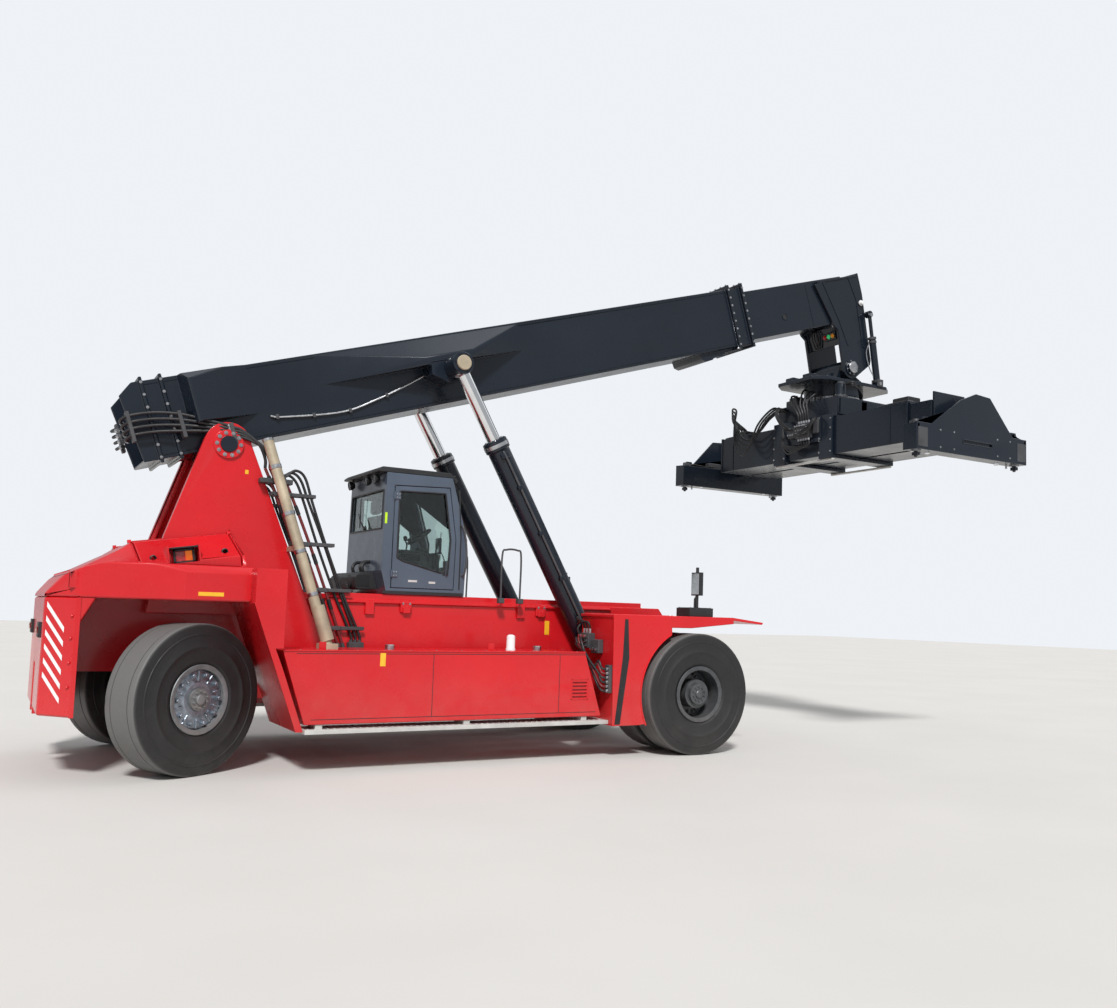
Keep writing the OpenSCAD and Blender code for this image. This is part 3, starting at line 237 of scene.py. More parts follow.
# Centres on a circle of radius r round c, square to an axis
def ringOf(c, axis, r, count, turn=0.0):
    axis, u, v = squareTo(axis)
    a = np.radians(turn) + np.linspace(0, 2 * np.pi, count, endpoint=False)[:, None]
    return np.asarray(c) + r * (np.cos(a) * u + np.sin(a) * v)


# A part given in one of the frames above, turned into the row frame
def placed(part, place):
    return place(part[0]), part[1]


# Same part mirrored to the machine's other side
def mirrored(part):
    return part[0] * [1, -1, 1], [f[::-1] for f in part[1]]


# Parts together with their mirror images
def bothWays(parts):
    return parts + [mirrored(p) for p in parts]


# Parts of the left side, given from the drive axle, set on the right side and then on the left
def onBothSides(parts):
    return [placed((p * [1, side, 1], f), fromAxle) for side in (rightSide, leftSide) for p, f in parts]


# Joins parts into one piece that rides on a body
def makePiece(name, body, material, parts, slot=None, angle=35, attribute=None):
    points, faces, start = [], [], 0
    for p, f in parts:
        points.append(p)
        faces += [[v + start for v in face] for face in f]
        start += len(p)
    mesh = bpy.data.meshes.new(name)
    mesh.from_pydata(np.vstack(points), [], faces)
    mesh.update()
    if attribute:
        layer = mesh.attributes.new(attribute[0], "FLOAT", "POINT")
        layer.data.foreach_set("value", np.asarray(attribute[1], np.float32))
    work = bmesh.new()
    work.from_mesh(mesh)
    bmesh.ops.recalc_face_normals(work, faces=work.faces)
    work.to_mesh(mesh)
    work.free()
    mesh.shade_smooth()
    mesh.set_sharp_from_angle(angle=math.radians(angle))
    piece = bpy.data.objects.new(name, mesh)
    bpy.context.scene.collection.objects.link(piece)
    mesh.materials.append(material)
    if body:
        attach(piece, body)
    return piece


paintSpec = dict(patchEdges=(0.35, 0.65), glossScale=3.1, glossEdges=(0.3, 0.7), speckScale=38,
                 speckEdges=(0.66, 0.72), speckTone=0.35, dustScale=3.5, dustEdges=(0.3, 0.7), dustThin=0.12,
                 grainDepth=0.002, waveDepth=0.006, coatRoughness=0.12)


# Materials
# A finish in two close tones, its gloss broken by a noise, with a fine bump and dust that gathers low
def finish(name, colour, tone=0.88, gloss=(0.3, 0.45), metal=0.0, coat=0.0, patch=1.2, grain=(220, 0.02),
           dust=0.0, dustColour=(0.42, 0.36, 0.30), dustTop=1.2, speck=0.0, bumps=None, sheen=0.5):
    material = bpy.data.materials.new(name)
    material.use_nodes = True
    tree = material.node_tree
    shader = tree.nodes["Principled BSDF"]
    link = tree.links.new
    where = tree.nodes.new("ShaderNodeTexCoord").outputs["Object"]

    def noise(scale, detail=4.0, rough=0.55):
        n = tree.nodes.new("ShaderNodeTexNoise")
        n.inputs["Scale"].default_value = scale
        n.inputs["Detail"].default_value = detail
        n.inputs["Roughness"].default_value = rough
        link(where, n.inputs["Vector"])
        return n.outputs["Fac"]

    def mapRange(value, a, b, c, d):
        n = tree.nodes.new("ShaderNodeMapRange")
        for key, v in zip(("From Min", "From Max", "To Min", "To Max"), (a, b, c, d)):
            n.inputs[key].default_value = v
        link(value, n.inputs["Value"])
        return n.outputs["Result"]

    def mix(fac, a, b):
        n = tree.nodes.new("ShaderNodeMix")
        n.data_type = "RGBA"
        link(fac, n.inputs["Factor"])
        for key, v in (("A", a), ("B", b)):
            socket = [s for s in n.inputs if s.name == key and s.type == "RGBA"][0]
            if isinstance(v, tuple):
                socket.default_value = (*v, 1)
            else:
                link(v, socket)
        return [s for s in n.outputs if s.type == "RGBA"][0]

    def product(a, b):
        n = tree.nodes.new("ShaderNodeMath")
        n.operation = "MULTIPLY"
        link(a, n.inputs[0])
        link(b, n.inputs[1])
        return n.outputs[0]

    s = paintSpec
    dark = tuple(c * tone for c in colour)
    shade = mix(mapRange(noise(patch), *s["patchEdges"], 0, 1), dark, tuple(colour))
    rough = mapRange(noise(patch * s["glossScale"], 5), *s["glossEdges"], *gloss)
    if speck:
        spots = mapRange(noise(s["speckScale"], 6, 0.7), *s["speckEdges"], 0, speck)
        shade = mix(spots, shade, tuple(c * s["speckTone"] for c in colour))
    if dust:
        parts = tree.nodes.new("ShaderNodeSeparateXYZ")
        link(where, parts.inputs[0])
        low = mapRange(parts.outputs["Z"], 0.0, dustTop, dust, dust * s["dustThin"])
        patches = mapRange(noise(s["dustScale"], 8, 0.65), *s["dustEdges"], 0.2, 1)
        shade = mix(product(low, patches), shade, dustColour)
    link(shade, shader.inputs["Base Color"])
    link(rough, shader.inputs["Roughness"])
    shader.inputs["Metallic"].default_value = metal
    shader.inputs["Coat Weight"].default_value = coat
    shader.inputs["Coat Roughness"].default_value = s["coatRoughness"]
    shader.inputs["Specular IOR Level"].default_value = sheen
    bump = tree.nodes.new("ShaderNodeBump")
    bump.inputs["Strength"].default_value = grain[1] * 10
    bump.inputs["Distance"].default_value = s["grainDepth"]
    link(noise(grain[0], 3), bump.inputs["Height"])
    last = bump.outputs["Normal"]
    if bumps:
        wave = tree.nodes.new("ShaderNodeBump")
        wave.inputs["Strength"].default_value = bumps[1]
        wave.inputs["Distance"].default_value = s["waveDepth"]
        link(noise(bumps[0], 2), wave.inputs["Height"])
        link(last, wave.inputs["Normal"])
        last = wave.outputs["Normal"]
    link(last, shader.inputs["Normal"])
    return material, tree, shader


paints = {
    "bodyPaint": dict(colour=(0.60, 0.007, 0.013), tone=0.86, gloss=(0.22, 0.34), coat=0.28, patch=0.7,
                      grain=(160, 0.012), dust=0.16, bumps=(1.6, 0.12), sheen=0.36),
    "boomPaint": dict(colour=(0.010, 0.015, 0.024), tone=0.80, gloss=(0.20, 0.34), coat=0.22, patch=0.6,
                      grain=(180, 0.014), dust=0.0, bumps=(1.4, 0.14), sheen=0.32),
    "darkSteel": dict(colour=(0.060, 0.064, 0.072), tone=0.65, gloss=(0.45, 0.65), metal=0.2, patch=4,
                      grain=(90, 0.05), dust=0.45, speck=0.5),
    "wheelGrey": dict(colour=(0.17, 0.19, 0.21), tone=0.62, gloss=(0.38, 0.6), metal=0.35, patch=9,
                      grain=(120, 0.04), dust=0.55, dustTop=1.6, speck=0.4),
    "wheelSilver": dict(colour=(0.30, 0.35, 0.41), tone=0.6, gloss=(0.26, 0.42), metal=0.7, patch=13,
                        grain=(120, 0.03), dust=0.12, dustTop=1.6, speck=0.4),
    "wheelDark": dict(colour=(0.050, 0.062, 0.075), tone=0.7, gloss=(0.32, 0.5), metal=0.3, patch=7,
                      grain=(120, 0.03), dust=0.35, dustTop=1.5),
    "cabPaint": dict(colour=(0.072, 0.094, 0.130), tone=0.84, gloss=(0.26, 0.4), coat=0.4, patch=2,
                     grain=(160, 0.012)),
    "blackPlastic": dict(colour=(0.018, 0.019, 0.021), tone=0.7, gloss=(0.42, 0.62), patch=5,
                         grain=(400, 0.05)),
    "rubberHose": dict(colour=(0.016, 0.016, 0.018), tone=0.6, gloss=(0.40, 0.58), patch=8,
                       grain=(500, 0.05), speck=0.2),
    "redHose": dict(colour=(0.16, 0.018, 0.020), tone=0.7, gloss=(0.40, 0.55), patch=8, grain=(500, 0.04)),
    "bareMetal": dict(colour=(0.55, 0.56, 0.58), tone=0.72, gloss=(0.24, 0.42), metal=1.0, patch=14,
                      grain=(260, 0.03), speck=0.35),
    "chromeRod": dict(colour=(0.78, 0.79, 0.80), tone=0.93, gloss=(0.07, 0.16), metal=1.0, patch=9,
                      grain=(420, 0.006)),
    "exhaustCoat": dict(colour=(0.50, 0.42, 0.30), tone=0.66, gloss=(0.45, 0.65), metal=0.25, patch=3,
                        grain=(110, 0.05), speck=0.6),
    "stepGrey": dict(colour=(0.60, 0.60, 0.58), tone=0.78, gloss=(0.42, 0.6), metal=0.15, patch=5,
                     grain=(120, 0.06), dust=0.35, dustTop=1.5, speck=0.35),
    "whiteMark": dict(colour=(0.80, 0.80, 0.80), tone=0.93, gloss=(0.30, 0.42), patch=9, grain=(200, 0.01)),
    "yellowMark": dict(colour=(0.85, 0.46, 0.02), tone=0.90, gloss=(0.22, 0.36), coat=0.4, patch=9,
                       grain=(300, 0.02)),
    "brass": dict(colour=(0.62, 0.45, 0.18), tone=0.8, gloss=(0.25, 0.4), metal=1.0, patch=12,
                  grain=(300, 0.02)),
}
look = {name: finish(name, **spec)[0] for name, spec in paints.items()}


# Black rubber, its tread grey with dust where the wear attribute is 1
def rubber(name, treadColour):
    material, tree, shader = finish(name, (0.013, 0.013, 0.014), tone=0.72, gloss=(0.50, 0.68), patch=4,
                                    grain=(140, 0.06), dust=0.13, dustColour=(0.20, 0.18, 0.16), dustTop=0.9)
    source = shader.inputs["Base Color"].links[0].from_socket
    wear = tree.nodes.new("ShaderNodeAttribute")
    wear.attribute_name = "wear"
    mix = tree.nodes.new("ShaderNodeMix")
    mix.data_type = "RGBA"
    tree.links.new(wear.outputs["Fac"], mix.inputs["Factor"])
    colours = [s for s in mix.inputs if s.type == "RGBA"]
    tree.links.new(source, colours[0])
    colours[1].default_value = (*treadColour, 1)
    tree.links.new([s for s in mix.outputs if s.type == "RGBA"][0], shader.inputs["Base Color"])
    return material


look["tyreRubber"] = rubber("tyreRubber", (0.130, 0.128, 0.124))


# Glass or a lamp's lens: clear and tinted, with a weak light of its own where glow is set
def clearPane(name, tint, roughness=0.02, glow=0.0):
    material = bpy.data.materials.new(name)
    material.use_nodes = True
    shader = material.node_tree.nodes["Principled BSDF"]
    shader.inputs["Base Color"].default_value = (*tint, 1)
    shader.inputs["Roughness"].default_value = roughness
    shader.inputs["Transmission Weight"].default_value = 1.0
    shader.inputs["IOR"].default_value = 1.45
    shader.inputs["Emission Color"].default_value = (*tint, 1)
    shader.inputs["Emission Strength"].default_value = glow
    return material


look["cabGlass"] = clearPane("cabGlass", (0.62, 0.72, 0.70))
look["clearLens"] = clearPane("clearLens", (0.92, 0.94, 0.95), 0.08)
look["amberLens"] = clearPane("amberLens", (0.95, 0.38, 0.03), 0.12, 0.25)
look["redLens"] = clearPane("redLens", (0.75, 0.02, 0.02), 0.12, 0.15)
look["greenLens"] = clearPane("greenLens", (0.05, 0.65, 0.22), 0.12, 0.45)


# Seat cloth: dark and dull with a coarse grain, and a soft sheen at a flat angle
def seatCloth(name):
    material, _, shader = finish(name, (0.030, 0.031, 0.035), tone=0.6, gloss=(0.82, 0.95), patch=12,
                                 grain=(260, 0.10))
    shader.inputs["Sheen Weight"].default_value = 0.3
    return material


look["seatCloth"] = seatCloth("seatCloth")

# Each CAD node's own finish
nodeLooks = {
    "boomPaint": ["boom_outer", "boom_inner", "boom_head", "lift_barrel_right", "lift_barrel_left",
                  "end_beam_right", "end_beam_left",
                  "yoke", "slew_frame", "spreader_beam", "spreader_arm_right", "spreader_arm_left"],
    "darkSteel": ["engine_block", "drive_axle", "steer_axle", "knuckle_right", "knuckle_left"],
    "rubberHose": ["tower_pipes"],
    "blackPlastic": ["cab_roof", "cooler_unit", "work_lamps"],
    "cabPaint": ["cab_shell", "door_right", "door_left"],
    "cabGlass": ["cab_glass", "door_glass_right", "door_glass_left"],
    "seatCloth": ["operator_station"],
    "chromeRod": ["extension_rod", "lift_rod_right", "lift_rod_left"],
    "exhaustCoat": ["exhaust_pipe"],
    "stepGrey": ["walkways"],
    "wheelGrey": ["rim_rear_right", "rim_rear_left"],
    "wheelDark": ["rims_front_right", "rims_front_left"],
    "tyreRubber": ["tyre_rear_right", "tyre_rear_left", "tyres_front_right", "tyres_front_left"],
}
chosen = {node: name for name, group in nodeLooks.items() for node in group}
for nodeName, node in nodes.items():
    node.data.materials.clear()
    node.data.materials.append(look[chosen.get(nodeName, "bodyPaint")])
print("finishes on the CAD nodes")

easeSpec = dict(small=0.004, longer=0.3, sharp=24, smooth=34, join=2e-5, flat=0.8, segments=3)


# A CAD node drawn again with eased edges: the long sharp ones by width, the short ones by less
def eased(nodeName, width):
    s = easeSpec
    node = nodes[nodeName]
    mesh = node.data.copy()
    mesh.transform(node.matrix_world)
    work = bmesh.new()
    work.from_mesh(mesh)
    bmesh.ops.remove_doubles(work, verts=work.verts, dist=s["join"])
    bmesh.ops.dissolve_limit(work, angle_limit=math.radians(s["flat"]), verts=work.verts, edges=work.edges)
    weight = work.edges.layers.float.new("bevel_weight_edge")
    for edge in work.edges:
        if len(edge.link_faces) == 2 and edge.calc_face_angle(0) > math.radians(s["sharp"]):
            edge[weight] = 1.0 if edge.calc_length() > s["longer"] else s["small"] / width
    work.to_mesh(mesh)
    work.free()
    mesh.shade_smooth()
    mesh.set_sharp_from_angle(angle=math.radians(s["smooth"]))
    piece = bpy.data.objects.new(nodeName + "_eased", mesh)
    bpy.context.scene.collection.objects.link(piece)
    bevel = piece.modifiers.new("edges", "BEVEL")
    bevel.limit_method = "WEIGHT"
    bevel.width = width
    bevel.segments = s["segments"]
    bevel.use_clamp_overlap = False
    bevel.harden_normals = True
    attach(piece, bodyOf[nodeName])
    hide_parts(nodeName)
    return piece


easedNodes = {
    0.030: ["rear_deck", "counterweight"],
    0.014: ["hood_lid_right", "hood_lid_left", "cooler_unit", "cab_roof", "boom_outer", "boom_inner"],
    0.010: ["tower", "tank_right", "tank_left", "front_fenders", "main_frame", "boom_head", "yoke",
            "slew_frame", "spreader_beam", "spreader_arm_right", "spreader_arm_left", "end_beam_right",
            "end_beam_left", "cab_shell", "drive_axle", "steer_axle"],
    0.006: ["mud_plates", "walkways", "door_right", "door_left", "work_lamps"],
}
for width, group in easedNodes.items():
    for nodeName in group:
        eased(nodeName, width)
print("eased edges")

# Wheels
tyreShape = dict(rim=0.352, width=0.5, radius=0.815, around=128)


# Slick tyre: half profile mirrored, with a step at the shoulder and ribs on the sidewall; marks are
# shallow dimples where the tread's radius drops at short stretches of its angle
def tyre(name, body, node, centre, axis):
    s = tyreShape
    w, r, k = s["width"] / 2, s["radius"], s["rim"]
    half = np.array([
        (k - 0.004, w * 0.70), (k + 0.012, w * 0.80), (k + 0.030, w * 0.865), (k + 0.055, w * 0.905),
        (k + 0.062, w * 0.925), (k + 0.075, w * 0.925), (k + 0.085, w * 0.925), (k + 0.15, w * 0.972),
        (k + 0.20, w * 0.985), (k + 0.205, w * 1.0), (k + 0.222, w * 1.0), (k + 0.227, w * 0.985),
        (k + 0.30, w * 0.975), (k + 0.335, w * 0.962), (k + 0.340, w * 0.978), (k + 0.356, w * 0.976),
        (k + 0.361, w * 0.955), (r - 0.072, w * 0.945), (r - 0.050, w * 0.930), (r - 0.030, w * 0.918),
        (r - 0.012, w * 0.890), (r - 0.003, w * 0.845), (r, w * 0.78), (r, w * 0.60), (r, w * 0.545),
        (r - 0.010, w * 0.53), (r - 0.010, w * 0.505), (r, w * 0.49), (r, w * 0.27), (r, w * 0.05)])
    profile = np.vstack([half, half[::-1] * [1, -1]])
    points, faces = revolved(profile, centre, axis, s["around"])
    wear = np.tile(np.clip((profile[:, 0] - (r - 0.028)) / 0.02, 0, 1), s["around"])
    axis = np.asarray(axis, float) / np.linalg.norm(axis)
    flat = points - np.asarray(centre)
    along = flat @ axis
    radial = flat - along[:, None] * axis
    turn = np.arctan2(radial[:, 2], radial @ np.cross(axis, [0, 0, 1.0]))
    mark = (wear > 0.9) & (np.abs(np.sin(turn * 6)) < 0.06) & (np.abs(along) > w * 0.60)
    points = points - radial / np.linalg.norm(radial, axis=1)[:, None] * (mark * 0.008)[:, None]
    groove = np.tile((profile[:, 0] < r - 0.006) & (profile[:, 0] > r - 0.014), s["around"])
    piece = makePiece(name, body, look["tyreRubber"], [(points, faces)], "tyre", 40,
                      ("wear", wear * (1 - 0.75 * groove)))
    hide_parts(node)
    return piece


# Centre of a steered wheel and its outward axis
def wheelPlace(side):
    joint = "roll_rear_" + side
    return spot(joint), axisOf(joint) * sides[side]


for side, s in sides.items():
    centre, out = wheelPlace(side)
    tyre("tyreRear_" + side, "wheel_rear_" + side, "tyre_rear_" + side, centre, out)
    low, high = boxOf("tyres_front_" + side)
    outer, inner = (low[1], high[1]) if s < 0 else (high[1], low[1])
    half = tyreShape["width"] / 2
    centres = [frontAxle + [0, outer - s * half, 0], frontAxle + [0, inner + s * half, 0]]
    tyre("tyreFrontOuter_" + side, "wheels_front_" + side, "tyres_front_" + side, centres[0], [0, s, 0])
    tyre("tyreFrontInner_" + side, "wheels_front_" + side, "tyres_front_" + side, centres[1], [0, s, 0])

rimShape = dict(seat=0.352, nutCircle=0.262, nuts=20, nutSize=0.017, valve=0.30)


# Lock ring, nuts on their studs, hub cover with its own bolts, and the valve
def rimDetail(name, body, centre, out, disc, dish, material, slot):
    s = rimShape
    out = np.asarray(out, float) / np.linalg.norm(out)
    lip = tyreShape["width"] * 0.44
    ring = [(s["seat"] + 0.020, lip - 0.004), (s["seat"] + 0.026, lip + 0.004),
            (s["seat"] + 0.020, lip + 0.012), (s["seat"] - 0.004, lip + 0.010),
            (s["seat"] - 0.030, lip + 0.001), (s["seat"] - 0.030, lip - 0.006)]
    parts = [revolved(ring, centre, out, 72)]
    clamp = [(s["seat"] - 0.040, disc - 0.002), (s["seat"] - 0.060, disc + 0.020),
             (s["seat"] - 0.074, disc + 0.020), (s["seat"] - 0.080, disc - 0.002)]
    parts.append(revolved(clamp, centre, out, 72))
    parts += bolts(ringOf(centre + out * disc, out, s["nutCircle"], s["nuts"]), out, s["nutSize"], 0.030)
    parts += bolts(ringOf(centre + out * dish, out, 0.092, 10, 18), out, 0.010, 0.014)
    parts.append(revolved([(0.0005, dish), (0.055, dish), (0.055, dish + 0.018), (0.045, dish + 0.026),
                           (0.0005, dish + 0.028)], centre, out, 32))
    start = ringOf(centre + out * (disc + 0.01), out, s["valve"], 1, 100)[0]
    parts.append(tube([start, start + out * 0.06], 0.008, 8))
    return makePiece(name, body, material, parts, slot)


wheelFace = dict(inner=0.126, outer=0.318, depth=0.182, lugs=10, lugCircle=0.268, boltCircle=0.226)


# Pale face of a steered wheel: a shallow dish with lug nuts, small bolts and radial ribs between them
def steeredFace(name, body, centre, out):
    f = wheelFace
    out = np.asarray(out, float) / np.linalg.norm(out)
    d = f["depth"]
    parts = [revolved([(f["inner"], d + 0.010), (0.178, d + 0.012), (0.190, d + 0.004), (0.225, d - 0.002),
                       (0.300, d + 0.004), (f["outer"], d - 0.006), (f["outer"], d - 0.014),
                       (f["inner"], d - 0.004)], centre, out, 72)]
    parts += bolts(ringOf(centre + out * d, out, f["lugCircle"], f["lugs"]), out, 0.024, 0.034)
    parts += bolts(ringOf(centre + out * (d - 0.002), out, f["boltCircle"], f["lugs"], 18), out, 0.011, 0.014)
    low = ringOf(centre + out * (d + 0.002), out, 0.200, f["lugs"], 18)
    high = ringOf(centre + out * (d + 0.004), out, 0.306, f["lugs"], 18)
    parts += [tube([a, b], 0.012, 8) for a, b in zip(low, high)]
    return makePiece(name, body, look["wheelSilver"], parts, "dark_steel")


for side, s in sides.items():
    centre, out = wheelPlace(side)
    rimDetail("rimDetailRear_" + side, "wheel_rear_" + side, centre, out, 0.105, 0.225, look["wheelGrey"],
              "dark_steel")
    steeredFace("rimFace_" + side, "wheel_rear_" + side, centre, out)
    low, high = boxOf("tyres_front_" + side)
    outer = low[1] if s < 0 else high[1]
    centre = frontAxle + [0, outer - s * tyreShape["width"] / 2, 0]
    rimDetail("rimDetailFront_" + side, "wheels_front_" + side, centre, [0, s, 0], -0.045, 0.21,
              look["wheelDark"], "dark_steel")
print("wheels")

# Chassis: marks and fittings of the red body
chassis = dict(cornerRear=(-7.78, 1.10), cornerFront=(-7.49, 1.46), stripes=6, stripePitch=0.145,
               stripeWidth=0.055, stripeDrop=0.26, stripeLow=0.78)


# Points given on the slanted corner of the counterweight: u forwards along it, v outwards, z up
def onCorner(points, side):
    c = chassis
    start, end = np.array(c["cornerRear"]), np.array(c["cornerFront"])
    along = (end - start) / np.linalg.norm(end - start)
    outwards = np.array([-along[1], along[0]])
    p = np.asarray(points, float)
    flat = start + p[..., :1] * along + p[..., 1:2] * outwards
    return fromAxle(np.concatenate([flat, p[..., 2:3]], -1)) * [1, side, 1]


# White slanted stripes on both rear corners, and a row of bolts ahead of them
def cornerMarks():
    c = chassis
    white, bolt = [], []
    for side in (rightSide, leftSide):
        for i in range(c["stripes"]):
            z = c["stripeLow"] + i * c["stripePitch"]
            low = [(0.05, z + c["stripeDrop"]), (0.30, z), (0.30, z + c["stripeWidth"]),
                   (0.05, z + c["stripeDrop"] + c["stripeWidth"])]
            rings = np.array([[(u, v, h) for u, h in low] for v in (-0.002, 0.0015)])
            points, faces = gridPart(rings)
            white.append((onCorner(points, side), faces))
        centres = onCorner([(0.40, 0.002, z) for z in (0.95, 1.2, 1.45, 1.68)], side)
        out = onCorner([(0, 1, 0)], side)[0] - onCorner([(0, 0, 0)], side)[0]
        bolt += bolts(centres, out, 0.014, 0.012)
    makePiece("cornerStripes", "root", look["whiteMark"], white, "cab_paint")
    makePiece("cornerBolts", "root", look["bodyPaint"], bolt, "body_paint")


cornerMarks()

rearLamp = dict(y=0.86, z=1.52, half=0.16, low=1.44, high=1.60, pitch=0.10, depth=0.030)


# Lamps at the rear: a black bezel with three lenses on each side
def rearLamps():
    s = rearLamp
    bezels, amber, red, clear = [], [], [], []
    x = chassis["cornerRear"][0]
    for side in (rightSide, leftSide):
        y = side * s["y"]
        bezel = block((x - s["depth"], y - s["half"], s["low"]), (x + 0.004, y + s["half"], s["high"]))
        bezels.append(placed(bezel, fromAxle))
        for lens, dy in ((red, -s["pitch"]), (amber, 0.0), (clear, s["pitch"])):
            centre = fromAxle([(x - s["depth"], y + dy, s["z"])])[0]
            lens.append(revolved([(0.0005, 0.016), (0.030, 0.013), (0.040, 0.002), (0.040, -0.006),
                                  (0.0005, -0.006)], centre, (-1, 0, 0), 24))
    makePiece("rearLampHousings", "root", look["blackPlastic"], bezels, "black_plastic")
    makePiece("rearLampsRed", "root", look["redLens"], red, "glass")
    makePiece("rearLampsAmber", "root", look["amberLens"], amber, "glass")
    makePiece("rearLampsClear", "root", look["clearLens"], clear, "glass")


rearLamps()

lidSpec = dict(rear=-0.505, over=-0.005, clips=5)


# Lid fittings: lens and frame of the work lamp, rubber rims of the hand holes, hinge clips
def lidFittings(name, side):
    body = "lid_" + name
    x0, z0 = lidSpec["rear"], lidSpec["over"]
    rubber, lens, glow, clip = [], [], [], []
    frameBox = [block((x0 + 0.325, 1.318, z0 - 0.292), (x0 + 0.545, 1.338, z0 - 0.268)),
                block((x0 + 0.325, 1.318, z0 - 0.160), (x0 + 0.545, 1.338, z0 - 0.136)),
                block((x0 + 0.325, 1.318, z0 - 0.292), (x0 + 0.350, 1.338, z0 - 0.136)),
                block((x0 + 0.520, 1.318, z0 - 0.292), (x0 + 0.545, 1.338, z0 - 0.136)),
                block((x0 + 0.300, 1.17, z0 - 0.130), (x0 + 0.575, 1.41, z0 - 0.112))]
    lens.append(block((x0 + 0.348, 1.316, z0 - 0.270), (x0 + 0.440, 1.331, z0 - 0.158), 0.006))
    glow.append(block((x0 + 0.446, 1.316, z0 - 0.270), (x0 + 0.522, 1.331, z0 - 0.158), 0.006))
    for x in (0.13, 0.87):
        rubber.append(revolved([(0.022, -0.03), (0.033, -0.03), (0.035, 0.030), (0.024, 0.034)],
                               (x0 + x, 1.265, z0 - 0.205), (0, 1, 0), 24))
    for x in np.linspace(0.09, 0.92, lidSpec["clips"]):
        clip.append(block((x0 + x - 0.03, 0.742, z0 - 0.001), (x0 + x + 0.03, 0.80, z0 + 0.009)))
        clip += bolts([(x0 + x - 0.015, 0.782, z0 + 0.009), (x0 + x + 0.015, 0.782, z0 + 0.009)], (0, 0, 1),
                      0.007, 0.006)
    for label, parts, material in (("Frame", frameBox, "blackPlastic"), ("Rims", rubber, "rubberHose"),
                                   ("LensClear", lens, "clearLens"), ("LensAmber", glow, "amberLens"),
                                   ("Clips", clip, "bodyPaint")):
        made = [placed(p, fromHood) for p in parts]
        if side < 0:
            made = [mirrored(p) for p in made]
        makePiece("lid" + label + "_" + name, body, look[material], made)


for name, side in sides.items():
    lidFittings(name, side)


# Small marks: amber reflectors, blank yellow labels, and thin dark strips painted as the shade in the gaps between
# the tank's panels
def smallMarks():
    yellow = [block((-6.37, 1.648, 1.925), (-6.11, 1.654, 1.968), 0.002),
              block((-5.775, 0.698, 3.395), (-5.735, 0.704, 3.445), 0.002),
              block((-4.40, 1.848, 1.185), (-4.335, 1.8535, 1.335), 0.002),
              block((-1.70, 0.738, 1.55), (-1.63, 0.7435, 1.74), 0.002)]
    # Painted shade: thin black strips stand for the shade in the gaps between the tank's panels, along its top and
    # bottom edges too
    seamShade = [block((-3.75, 1.8485, 0.60), (-3.742, 1.8512, 1.325), 0.001),
             block((-2.05, 1.8485, 0.60), (-2.042, 1.8512, 1.325), 0.001),
             block((-5.35, 1.8485, 1.322), (-1.66, 1.8512, 1.330), 0.001),
             block((-5.16, 1.8485, 0.592), (-1.50, 1.8512, 0.600), 0.001)]
    yellow = [placed(p, fromAxle) for p in [mirrored(q) for q in yellow] + yellow]
    makePiece("yellowMarks", "root", look["yellowMark"], yellow, "cab_paint")
    # the painted shade strips of the panel gaps, on both sides
    makePiece("panelSeamShade", "root", look["blackPlastic"], onBothSides(seamShade), "black_plastic")


smallMarks()


# Tank fittings: top flange with bolts, filler caps, the pale filter can, vent mesh and lift lugs
def tankFittings():
    plates = [block((-5.50, 1.835, 1.352), (-1.68, 1.862, 1.368), 0.003)]
    for x in (-5.0, -2.9):
        plates.append(block((x - 0.04, 1.60, 1.355), (x + 0.04, 1.615, 1.45), 0.004))
    steel = [revolved([(0.0005, 0.055), (0.050, 0.055), (0.058, 0.045), (0.058, 0.0), (0.0005, 0.0)],
                      (x, 1.30, 1.36), (0, 0, 1), 32) for x in (-4.1, -2.1)]
    steel += bolts([(x, 1.815, 1.36) for x in np.arange(-5.3, -1.75, 0.32)], (0, 0, 1), 0.010, 0.009)
    can = revolved([(0.0005, 0.20), (0.025, 0.20), (0.052, 0.185), (0.055, 0.17), (0.055, 0.03),
                    (0.062, 0.02), (0.062, 0.0), (0.0005, 0.0)], (-2.53, 1.40, 1.36), (0, 0, 1), 32)
    mesh = [block((-1.855, 1.838, 0.775 + 0.045 * i), (-1.635, 1.8415, 0.778 + 0.045 * i), 0.001)
            for i in range(6)]
    mesh += [block((x, 1.838, 0.772), (x + 0.003, 1.8415, 1.003), 0.001)
             for x in np.linspace(-1.85, -1.64, 12)]
    for (x0, z0), (x1, z1) in (((-1.87, 0.755), (-1.62, 0.770)), ((-1.87, 1.008), (-1.62, 1.023)),
                               ((-1.87, 0.755), (-1.857, 1.023)), ((-1.633, 0.755), (-1.62, 1.023))):
        plates.append(block((x0, 1.846, z0), (x1, 1.856, z1)))
    makePiece("tankPlates", "root", look["bodyPaint"], onBothSides(plates), "body_paint")
    makePiece("tankCaps", "root", look["bareMetal"], onBothSides(steel), "dark_steel")
    makePiece("filterCans", "root", look["whiteMark"], onBothSides([can]), "cab_paint")
    makePiece("ventMesh", "root", look["blackPlastic"], onBothSides(mesh), "black_plastic")


tankFittings()

studSpec = dict(pitch=0.075, foot=0.012, top=0.008, rise=0.006)


